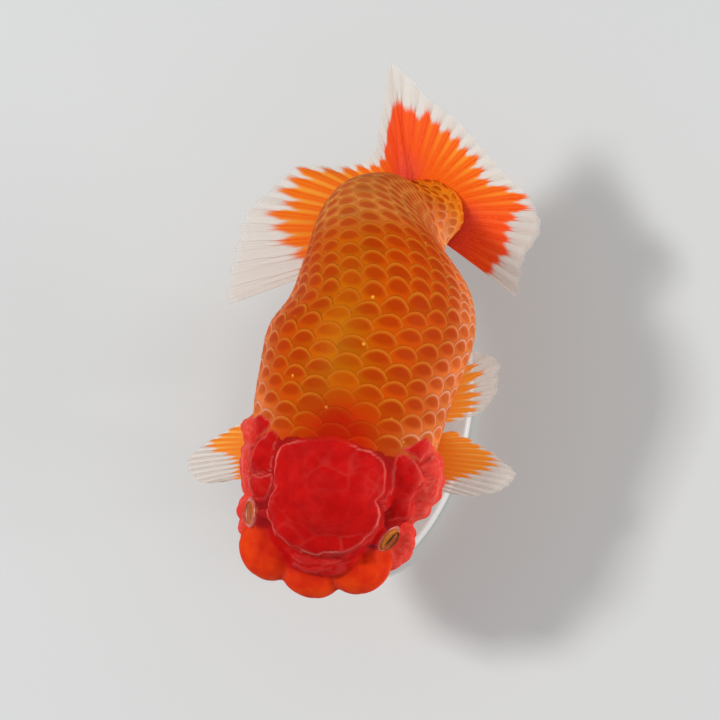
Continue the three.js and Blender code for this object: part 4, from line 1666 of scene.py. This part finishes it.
SMALL_FINS = (
    SmallFins(
        "pectoral", 13, 1.2,
        (((22, -22.4, -13.4), (22, -9.6, -14.6)), ((-19, -27.4, -13.4), (-19, -14.0, -14.6))),
        (((31, -23.0, -15), (38.6, -21.6, -16), (44.2, -18.2, -17), (45.4, -14.6, -17.6),
          (41.4, -11.6, -17.4), (34.6, -8.8, -16.6), (28, -6.6, -15.6)),
         ((-27.6, -30.0, -15), (-33.8, -31.2, -16), (-37.6, -29.0, -17), (-38.6, -26.0, -17.6),
          (-35.8, -21.8, -17.4), (-31.0, -17.6, -16.6), (-25, -13.2, -15.6))),
        ((0.5, 0.36, 0.5, 0.74, 0.93, 0.97, 0.95), (0.66, 0.42, 0.36, 0.5, 0.93, 0.95, 0.95))),
    SmallFins(
        "pelvic", 9, 0.8,
        (((17, -6.0, -23.5), (15.5, 4.0, -26)), ((-10, -5.0, -27.5), (-7, 4.0, -29))),
        (((26, -3.4, -27.4), (32.6, 0.4, -29.4), (35.6, 4.8, -31), (36.4, 10.4, -32.4),
          (34.6, 16.4, -33.6), (27, 17.4, -33)),
         ((-14.4, 1.4, -33.6), (-17.6, 8.6, -37), (-18.4, 14.6, -39), (-16.6, 19.2, -40),
          (-13, 20.8, -39.4), (-9.4, 19.6, -37.6))),
        ((0.9, 0.86, 0.8, 0.74, 0.7),) * 2, (0.14, 0.14)),
    SmallFins(
        "anal", 7, 0.5,
        (((10, 33.0, -22), (12, 39.6, -20.6)), ((-2.4, 33.0, -22.4), (-2.8, 39.6, -21))),
        (((11.6, 38.4, -31), (13.2, 43.4, -34.6), (14.6, 48.4, -34.6), (14.6, 49.4, -30),
          (13.8, 46.6, -25.6)),
         ((-0.6, 38.2, -31.4), (0.6, 43.0, -35), (1.4, 47.8, -35), (1, 49, -30.4),
          (-0.8, 46.6, -26))),
        ((0.8, 0.8, 0.75, 0.8),) * 2),
)


# --------------------------------------------------------------------------- stand


@dataclass
class Stand:
    """The oval base and the two rods that carry the fish."""

    length: float = 90.0
    width: float = 52.0
    height: float = 6.0
    edge: float = 1.4
    rod: float = 2.55
    rod_ys: Spot = (-20.0, 16.0)
    collar: float = 4.3
    collar_height: float = 1.6
    collar_gap: float = 0.05
    board_sides: int = 160
    rod_sides: int = 48
    sharp_from: float = 40.0

    def lathe(self, name: str, profile: list[Spot], oval: Spot, y: float, sides: int) -> Piece:
        """A turned or oval closed shape standing on its axis.

        Args:
            name: the piece's name.
            profile: (inset from the widest outline or radius, height) from the bottom up.
            oval: half width and half length that the insets are taken from.
            y: where the axis stands.
            sides: points round.

        Returns:
            The new object.
        """
        angle, middle = turns(sides), np.array([0.0, y])
        rings = [np.column_stack([
            (oval[0] - inset) * np.cos(angle), (oval[1] - inset) * np.sin(angle) + y,
            np.full(sides, height)]) for inset, height in profile]
        points = np.vstack([[*middle, profile[0][1]], *rings, [*middle, profile[-1][1]]])
        piece = new_object(name, points * MM, capped_faces(len(profile), sides))
        piece.data.set_sharp_from_angle(angle=math.radians(self.sharp_from))
        return piece

    def base(self) -> Piece:
        """The board, with a rounded upper edge and a small foot chamfer.

        Returns:
            The new object.
        """
        arc = [(self.edge * (1 - math.cos(a)), self.height - self.edge + self.edge * math.sin(a))
               for a in np.linspace(0.0, math.pi / 2, 7)]
        profile = [(0.8, 0.0), (0.0, 0.6), *arc, (6.0, self.height)]
        return self.lathe(
            "stand_board", profile, (self.width / 2, self.length / 2), 0.0, self.board_sides)

    def rod_piece(self, name: str, y: float, top: float) -> Piece:
        """One rod with the collar that it screws into.

        Args:
            name: the piece's name.
            y: where it stands.
            top: height of its upper end.

        Returns:
            The new object.
        """
        low = self.height + self.collar_gap
        high, step = low + self.collar_height, self.collar - self.rod
        profile = [(0.0, low), (0.0, high - 0.4), (0.4, high), (step - 0.25, high),
                   (step, high + 0.25), (step, top - 0.3), (step + 0.3, top)]
        return self.lathe(name, profile, (self.collar, self.collar), y, self.rod_sides)


# --------------------------------------------------------------------------- finishes


class Paint:
    """A material in the making: its shader and the nodes that feed it."""

    def __init__(self, name: str, constants: dict[str, object]) -> None:
        """Starts a material whose shader holds constants on its sockets.

        Args:
            name: the substance's name.
            constants: values by the shader's inputs.
        """
        self.finish = bpy.data.materials.new(name)
        self.finish.use_nodes = True
        self.tree = self.finish.node_tree
        self.tree.nodes.clear()
        self.shader = add_node(self.tree, "ShaderNodeBsdfPrincipled", {}, constants)
        add_node(self.tree, "ShaderNodeOutputMaterial", {}, {"Surface": self.shader})

    def add(self, kind: str, inputs: dict | None = None, **settings: object) -> Node:
        """Adds a shader node such as Mix with its inputs and settings."""
        return add_node(self.tree, f"ShaderNode{kind}", settings, inputs)

    def read(self, name: str, out: str = "Fac") -> Socket:
        """A named attribute of the mesh."""
        return self.add("Attribute", attribute_name=name).outputs[out]

    def place(self) -> Socket:
        """The point's place in metres."""
        return self.add("TexCoord").outputs["Object"]

    def split(self, vector: Socket | Node) -> list[Socket]:
        """The three parts of a vector."""
        return list(self.add("SeparateXYZ", {0: vector}).outputs)

    def noise(self, size_mm: float, detail: float, place: Socket | Node | None = None) -> Socket:
        """Noise with features of about the given size in millimetres."""
        return self.add("TexNoise", {
            "Vector": place or self.place(), "Scale": 1.0 / (size_mm * MM), "Detail": detail,
        }).outputs[0]

    def cells(self, size_mm: float, feature: str = "F1") -> Node:
        """Round cells of about the given size in millimetres."""
        return self.add("TexVoronoi", {
            "Vector": self.place(), "Scale": 1.0 / (size_mm * MM)}, feature=feature)

    def mix(self, share: Socket | Node | float, low: Socket | Node | str,
            high: Socket | Node | str, way: str = "MIX") -> Socket:
        """Mixes two colours.

        Args:
            share: 0 for the first colour and 1 for the second.
            low: the first colour, as an sRGB hex code or a socket.
            high: the second colour.
            way: the kind of mixing.

        Returns:
            The mixed colour.
        """
        low, high = (srgb(tone) if isinstance(tone, str) else tone for tone in (low, high))
        return self.add("Mix", {0: share, 6: low, 7: high}, data_type="RGBA",
                        blend_type=way).outputs[2]

    def ramp(self, value: Socket | Node, low: float, high: float, start: float = 0.0,
             stop: float = 1.0) -> Socket:
        """Maps a number smoothly from low..high to start..stop, held at the ends."""
        return self.add("MapRange", {
            "Value": value, "From Min": low, "From Max": high, "To Min": start, "To Max": stop,
        }, interpolation_type="SMOOTHSTEP").outputs[0]

    def times(self, product_so_far: Socket | float, *factors: Socket | float) -> Socket:
        """Product of numbers, taken from the left."""
        for factor in factors:
            product_so_far = reckon(self.tree, "MULTIPLY", product_so_far, factor).outputs[0]
        return product_so_far

    def most(self, a: Socket | float, b: Socket | float) -> Socket:
        """The larger of two numbers."""
        return reckon(self.tree, "MAXIMUM", a, b).outputs[0]

    def bump(self, height: Socket | Node, strength: float, depth_mm: float) -> Socket:
        """A relief of the given depth in millimetres."""
        return self.add("Bump", {
            "Strength": strength, "Distance": depth_mm * MM, "Height": height}).outputs[0]

    def done(self, inputs: dict[str, Socket]) -> Finish:
        """Links sockets to the shader's inputs and hands over the material."""
        for name, socket in inputs.items():
            self.tree.links.new(socket, self.shader.inputs[name])
        return self.finish


@dataclass(frozen=True)
class FleshColours:
    """Colours that the skin and the scales share."""

    back: str = "bb4402"
    olive: str = "bd6a04"
    flank: str = "e07434"
    belly: str = "e39a5c"
    neck: str = "bf2006"
    root: str = "dc7212"
    tan: str = "c67434"

    def paint(self, on: Paint) -> tuple[Socket, ...]:
        """The body's colour from the markings stored on the mesh.

        Args:
            on: the material.

        Returns:
            The colour, and the strengths of flank, belly, olive, neck, root and tan.
        """
        marks = [part for name in ("tones", "spots") for part in on.split(on.read(name, "Vector"))]
        flank, belly, olive, neck, root, tan = marks
        colour = on.mix(flank, self.back, self.flank)
        for mark, tone in ((olive, self.olive), (belly, self.belly), (tan, self.tan),
                           (root, self.root), (neck, self.neck)):
            colour = on.mix(mark, colour, tone)
        return colour, *marks


@dataclass(frozen=True)
class WetSkin:
    """Goldfish skin and head growth: soft and slightly see-through, red over a pale underlayer
    that shows along the creases."""

    flesh: FleshColours = FleshColours()
    cap: str = "be100d"
    cap_deep: str = "b00b0b"
    snout: str = "e0420f"
    snout_deep: str = "d02c0e"
    lip: str = "cf4a32"
    blush: str = "d8382c"
    blush_pale: str = "dc5c50"
    # painted shade: purplish dark red for the hollow beside each eye
    recess: str = "9a3640"
    # painted shade: dark red for the valleys between the growth's islands
    gap: str = "860d0c"
    crease: str = "dc7a70"
    # painted shade: very dark red for the slit between the lips
    cleft: str = "6a120c"
    grain_mm: float = 0.9

    def build(self) -> Finish:
        """The material.

        Returns:
            The skin's material.
        """
        on = Paint("wet_goldfish_skin", {
            "Roughness": 0.55, "IOR": 1.36, "Specular IOR Level": 0.05, "Subsurface Weight": 0.1,
            "Subsurface Radius": (1.0, 0.3, 0.15), "Subsurface Scale": 1.2 * MM})
        mottle, fine = on.noise(4.0, 3.0), on.noise(1.3, 2.0)
        red = on.mix(on.ramp(mottle, 0.35, 0.65), self.cap_deep, self.cap)
        rosy = on.mix(on.ramp(fine, 0.45, 0.75, 0.0, 0.7), self.blush, self.blush_pale)
        red = on.mix(on.read("blush"), red, rosy)
        warm = on.mix(on.ramp(mottle, 0.3, 0.7), self.snout_deep, self.snout)
        red = on.mix(on.read("snout"), red, warm)
        red = on.mix(on.read("lip"), red, self.lip)
        # painted shade in the hollow beside each eye
        red = on.mix(on.times(on.read("recess"), 0.75), red, self.recess)
        colour = on.mix(on.read("growth"), self.flesh.paint(on)[0], red)
        # painted shade in the valleys between the growth's islands
        colour = on.mix(on.times(on.read("gap"), 0.7), colour, self.gap)
        colour = on.mix(on.times(on.read("crease"), 0.62), colour, self.crease)
        # painted shade inside the cleft between the lips
        colour = on.mix(on.read("cleft"), colour, self.cleft)
        grain = on.cells(self.grain_mm, "SMOOTH_F1")
        return on.done({"Base Color": colour, "Normal": on.bump(grain, 0.22, 0.12)})


@dataclass(frozen=True)
class ScaleSheen:
    """Goldfish scale: a thin horny plate with a reflecting underside, dark orange where it is
    thick, golden along its free edge and clear at the very rim."""

    flesh: FleshColours = FleshColours()
    rim_gold: str = "d0701a"
    rim_flank: str = "de8a62"
    rim_root: str = "f09c2c"
    line: str = "e09a88"
    heart: str = "a83003"
    # painted highlight: colour and spacing of the golden glints on a few scales
    glint_colour: str = "ffb43c"
    glint_size_mm: float = 3.2

    def build(self) -> Finish:
        """The material.

        Returns:
            The scales' material.
        """
        on = Paint("goldfish_scale", {
            "IOR": 1.45, "Specular IOR Level": 0.02, "Subsurface Weight": 0.08,
            "Subsurface Radius": (1.0, 0.4, 0.15), "Subsurface Scale": 0.8 * MM})
        rim, seed, form = on.read("rim"), on.read("seed"), on.read("form", "Vector")
        body, flank, _, olive, neck, root, _ = self.flesh.paint(on)
        shade = on.ramp(seed, 0.0, 1.0, 0.86, 1.1)
        body = on.mix(1.0, body, on.add("CombineColor", dict.fromkeys(range(3), shade)),
                      "MULTIPLY")
        drawn = on.add("Mapping", {
            "Vector": form, "Location": (0.0, -4.9, 0.0), "Scale": (1.3, 6.1, 0.0)})
        far = on.add("VectorMath", {0: drawn}, operation="LENGTH").outputs["Value"]
        rear = on.ramp(on.split(form)[1], 0.6, 0.95, 0.2, 1.0)
        quiet = on.ramp(neck, 0.0, 0.6, 1.0, 0.12)
        deep = on.times(on.ramp(far, 1.25, 0.5), quiet, on.ramp(olive, 0.2, 1.0, 0.75, 0.25),
                        on.ramp(flank, 0.3, 1.0, 1.0, 0.6))
        colour = on.mix(deep, body, self.heart)
        gold = on.mix(root, on.mix(flank, self.rim_gold, self.rim_flank), self.rim_root)
        ring = on.times(on.ramp(rim, 0.76, 0.94), on.times(quiet, rear),
                        on.ramp(olive, 0.2, 1.0, 0.8, 0.5), on.ramp(seed, 0.0, 1.0, 1.0, 0.6))
        # painted light: the rim's bevel, which shades dark, is painted gold to hide that shade
        ring = on.most(ring, on.times(quiet, on.ramp(rim, 0.9, 0.97, 0.0, 0.8)))
        colour = on.mix(ring, colour, gold)
        edge = on.times(on.ramp(rim, 0.85, 0.92), quiet, on.ramp(flank, 0.2, 1.0, 0.0, 0.5),
                        on.ramp(root, 0.0, 0.6, 1.0, 0.15))
        colour = on.mix(edge, colour, self.line)
        # painted highlight: a few golden glints dotted on the back, fading out on the flanks
        glint_cells = on.cells(self.glint_size_mm)
        lucky = on.add("SeparateColor", {0: glint_cells.outputs["Color"]})
        glint = on.times(on.ramp(glint_cells.outputs["Distance"], 0.2, 0.02, 0.0, 0.8),
                         on.times(on.ramp(lucky, 0.92, 0.95), on.ramp(flank, 0.6, 0.2)))
        grain = on.noise(0.8, 4.0)
        return on.done({
            "Base Color": on.mix(glint, colour, self.glint_colour), "Normal": on.bump(grain, 0.2, 0.06),
            "Roughness": on.ramp(grain, 0.3, 0.7, 0.45, 0.6)})


@dataclass(frozen=True)
class FinWeb:
    """Fin web: a thin wet film, clear as gelatine beyond the orange, which is stronger along
    the rays than between them."""

    orange: str = "ef6a08"
    red: str = "f0481a"
    between: str = "f0a430"
    flesh: str = "e04a3c"
    clear: str = "e4dace"
    clear_alpha: float = 0.36
    tint_alpha: float = 0.95

    def build(self, name: str) -> Finish:
        """The material for the fin of that name.

        Args:
            name: the fin.

        Returns:
            The web's material.
        """
        on = Paint(f"fin_web_{name}", {
            "Roughness": 0.5, "Specular IOR Level": 0.15, "IOR": 1.36})
        along, ray, red, pigment, twig = map(on.read, ("along", "ray", "red", "pigment", "twig"))
        gaps = on.times(on.ramp(ray, 0.6, 0.0), on.ramp(along, 0.25, 0.75, 0.1, 1.0))
        twigs = on.times(on.ramp(twig, 0.6, 0.0), on.ramp(along, 0.3, 0.7, 0.0, 0.5))
        gaps = on.times(on.most(gaps, twigs), on.ramp(red, 0.0, 1.0, 0.7, 0.1))
        tint = on.mix(gaps, on.mix(red, self.orange, self.red), self.between)
        rosy = on.times(on.ramp(along, 0.45, 0.15, 0.0, 0.7), on.ramp(red, 0.3, 0.9))
        tint = on.mix(rosy, tint, self.flesh)
        film = on.ramp(along, 0.93, 1.0, self.clear_alpha, 0.15)
        alpha = on.add("MapRange", {
            "Value": pigment, "To Min": film, "To Max": self.tint_alpha}).outputs[0]
        return on.done({"Base Color": on.mix(pigment, self.clear, tint), "Alpha": alpha})


@dataclass(frozen=True)
class FinRay:
    """Fin ray: a thin jointed bone rod under skin, orange as far as the web is, milky beyond."""

    orange: str = "ea6006"
    red: str = "ea4216"
    bright: str = "f08a1c"
    milky: str = "dccdc0"
    flesh: str = "d4483a"
    joint_mm: float = 0.9

    def build(self, name: str) -> Finish:
        """The material for the fin of that name.

        Args:
            name: the fin.

        Returns:
            The rays' material.
        """
        on = Paint(f"fin_ray_{name}", {
            "Roughness": 0.5, "Specular IOR Level": 0.15, "IOR": 1.4})
        along, pigment, red = map(on.read, ("along", "pigment", "red"))
        rosy = on.times(on.ramp(along, 0.45, 0.15, 0.0, 0.7), on.ramp(red, 0.3, 0.9))
        strong = on.mix(rosy, on.mix(red, self.orange, self.red), self.flesh)
        joints = on.ramp(on.noise(self.joint_mm, 1.0), 0.4, 0.6, 0.0, 0.25)
        strong = on.mix(joints, strong, self.bright)
        return on.done({"Base Color": on.mix(pigment, self.milky, strong),
                        "Alpha": on.ramp(pigment, 0.0, 1.0, 0.5, 1.0)})


@dataclass(frozen=True)
class EyeBall:
    """Fish eye: dark pupil, a metallic gold iris streaked from the pupil out, dark rim."""

    pupil: str = "6e4210"
    gold: str = "d47e14"
    copper: str = "c85c14"
    shaded_iris: str = "b04a1c"
    # painted shade: brown for the iris's lower side
    rim: str = "c0642c"
    white: str = "c98a74"

    def build(self, form: EyeForm) -> Finish:
        """The material for an eye.

        Args:
            form: the eye.

        Returns:
            The ball's material.
        """
        on = Paint("fish_eyeball", {
            "Metallic": 0.1, "Roughness": 0.4, "Specular IOR Level": 0.15})
        far, long, high = on.split(on.read("eye_place", "Vector"))
        streak = on.add("TexNoise", {
            "Vector": on.add("CombineXYZ", {"X": long, "Y": high}), "Scale": 9.0, "Detail": 2.0})
        # painted light and shade: the iris's own gold on its upper, lit side, turning brown on its
        # lower, shaded side
        iris = on.mix(on.ramp(high, -0.5, 0.6), self.shaded_iris, self.gold)
        iris = on.mix(on.ramp(streak, 0.4, 0.65, 0.0, 0.8), iris, self.copper)
        colour = on.mix(on.ramp(far, form.pupil - 0.05, form.pupil + 0.3), self.pupil, iris)
        rim = on.ramp(far, form.iris_ring - 0.35, form.iris_ring, 0.0, 0.8)
        colour = on.mix(rim, colour, self.rim)
        return on.done({"Base Color": on.mix(on.read("front"), self.white, colour)})


def cornea_finish() -> Finish:
    """Cornea: a clear wet film that only shows by its glint."""
    return Paint("wet_cornea", {
        "Base Color": srgb("2c1a0c"), "Roughness": 0.05, "IOR": 1.38, "Alpha": 0.1}).finish


def lid_finish() -> Finish:
    """Skin of the eye's rim: pale flesh on the inside edge, purplish red outside."""
    on = Paint("eye_rim_skin", {"Roughness": 0.4, "Coat Weight": 0.3, "Coat Roughness": 0.15})
    outer = on.mix(on.ramp(on.noise(1.2, 2.0), 0.3, 0.7), "b43a34", "c65248")
    return on.done({"Base Color": on.mix(on.read("inner"), outer, "d08674")})


def board_finish() -> Finish:
    """Lacquered board: pale satin paint with a faint roller texture."""
    on = Paint("satin_lacquered_board", {"Roughness": 0.45})
    peel = on.noise(0.7, 2.0)
    return on.done({"Base Color": on.mix(peel, "d6d4cf", "dfddd9"),
                    "Normal": on.bump(peel, 0.15, 0.05)})


def steel_finish() -> Finish:
    """Brushed stainless steel: fine lines round the rod spread its glints."""
    on = Paint("brushed_stainless_steel", {"Base Color": srgb("c4c5c6"), "Metallic": 1.0})
    drawn = on.add("Mapping", {"Vector": on.place(), "Scale": (1.0, 1.0, 30.0)})
    return on.done({"Roughness": on.ramp(on.noise(4.0, 3.0, drawn), 0.3, 0.7, 0.24, 0.38)})


def floor_finish() -> Finish:
    """Matt studio floor: pale paint without shine."""
    return Paint("pale_matt_floor", {
        "Base Color": srgb("cdcecc"), "Roughness": 0.95, "Specular IOR Level": 0.1}).finish


# --------------------------------------------------------------------------- studio


@dataclass(frozen=True)
class Studio:
    """Pale floor, soft light from the fish's right, and a camera almost overhead."""

    target: tuple[float, float, float] = (2.5, 4.8, 0.0)
    distance: float = 700.0
    lean_left: float = 6.0
    lean_front: float = 8.0
    roll: float = 10.7
    lens: float = 140.0
    clip: Spot = (0.01, 10.0)
    floor_reach: float = 3.0
    sky: str = "eef1f4"
    sky_light: float = 0.62

    def goal(self) -> Vector:
        """The point that camera and lamps look at, in metres."""
        return Vector(to_row(np.array(self.target)))

    def camera(self) -> None:
        """Places the camera and makes it the scene's own."""
        x, y = math.sin(math.radians(self.lean_left)), -math.sin(math.radians(self.lean_front))
        back = Vector((x, y, math.sqrt(1 - x * x - y * y)))
        up = Vector((0, 1, 0))
        up = (up - back * back.dot(up)).normalized()
        right = up.cross(back)
        turn = math.radians(self.roll)
        right, up = (right * math.cos(turn) + up * math.sin(turn),
                     up * math.cos(turn) - right * math.sin(turn))
        lens = bpy.data.cameras.new("camera")
        lens.lens = self.lens
        lens.clip_start, lens.clip_end = self.clip
        camera = new_thing("camera", lens)
        axes = Matrix((right, up, back)).transposed().to_4x4()
        camera.matrix_world = Matrix.Translation(self.goal() + back * self.distance * MM) @ axes
        bpy.context.scene.camera = camera

    def lamp(self, name: str, at: tuple[float, float, float], size: float, power: float) -> None:
        """A square soft lamp that looks at the fish.

        Args:
            name: the lamp's name.
            at: place in metres from the fish.
            size: width in metres.
            power: watts.
        """
        light = bpy.data.lights.new(name, "AREA")
        light.size = size
        light.energy = power
        lamp = new_thing(name, light)
        lamp.location = self.goal() + Vector(at)
        lamp.rotation_euler = (self.goal() - lamp.location).to_track_quat("-Z", "Y").to_euler()

    def build(self) -> None:
        """Makes the floor, the light and the camera."""
        corners = [(x, y, 0.0) for x, y in ((-1, -1), (1, -1), (1, 1), (-1, 1))]
        floor = new_object("floor", np.array(corners) * self.floor_reach, [(0, 1, 2, 3)],
                           smooth=False)
        floor.data.materials.append(floor_finish())
        world = bpy.data.worlds.new("studio")
        world.use_nodes = True
        sky = world.node_tree.nodes["Background"].inputs
        sky[0].default_value, sky[1].default_value = srgb(self.sky), self.sky_light
        bpy.context.scene.world = world
        self.lamp("key", (-0.69, -0.02, 0.98), 0.16, 8.5)
        self.lamp("fill", (0.98, 0.1, 0.2), 0.4, 6.4)
        bpy.context.scene.view_settings.view_transform = "Standard"
        self.camera()


# --------------------------------------------------------------------------- assembly

FLESH_NODES = [
    "head", "trunk_front", "trunk_rear", "tail_root", "crown", "temple_left", "temple_right",
    "gill_cover_left", "gill_cover_right", "cheek_left", "cheek_right", "snout_left",
    "snout_right", "snout_middle", "upper_lip", "lower_jaw",
]


def build_body() -> None:
    """Makes the skin and its scales."""
    skin = Skin()
    hide, share = skin.build()
    finish_piece(hide, FLESH_NODES, WetSkin().build())
    finish_piece(ScaleCoat(skin, share).build(ScaleSheen().build()), [])


def build_eyes() -> None:
    """Makes both eyes."""
    cornea, lid = cornea_finish(), lid_finish()
    # the right eye's iris, with a lighter pupil and its own painted-shade brown
    irises = EyeBall(), EyeBall(pupil="b85c1c", gold="d06a14", shaded_iris="cc6230")
    for form, iris in zip(EYES, irises):
        eye = Eye(form)
        finish_piece(eye.ball(), [f"eye_{form.name}"], iris.build(form))
        finish_piece(eye.cornea(), [], cornea)
        finish_piece(eye.lid(), [], lid)


def build_fins() -> None:
    """Makes every fin; the tail's orange is the redder one."""
    forms = [half.form() for half in TAIL] + [form for pair in SMALL_FINS for form in pair.forms()]
    for form in forms:
        fin, tail = Fin(form), form.name.startswith("tail")
        film = FinWeb() if tail else FinWeb(orange="ee8a1e", between="f0ae4c")
        rod = FinRay() if tail else FinRay(orange="e8841c", bright="eea040")
        finish_piece(fin.web(), list(form.nodes), film.build(form.name))
        finish_piece(fin.rays(rod.build(form.name)), [])


def build_stand() -> None:
    """Makes the base and the rods."""
    stand, steel = Stand(), steel_finish()
    finish_piece(stand.base(), ["stand_base"], board_finish())
    for name, y in zip(("front", "rear"), stand.rod_ys):
        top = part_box(f"stand_rod_{name}")[1].z / MM
        rod = stand.rod_piece(f"stand_{name}_rod", y, top)
        finish_piece(rod, [f"stand_rod_{name}"], steel)


def main() -> None:
    logging.basicConfig(level=logging.INFO, format="%(message)s")
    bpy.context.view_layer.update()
    build_body()
    build_eyes()
    build_fins()
    build_stand()
    Studio().build()
    bpy.context.view_layer.update()


if __name__ == "__main__":
    main()
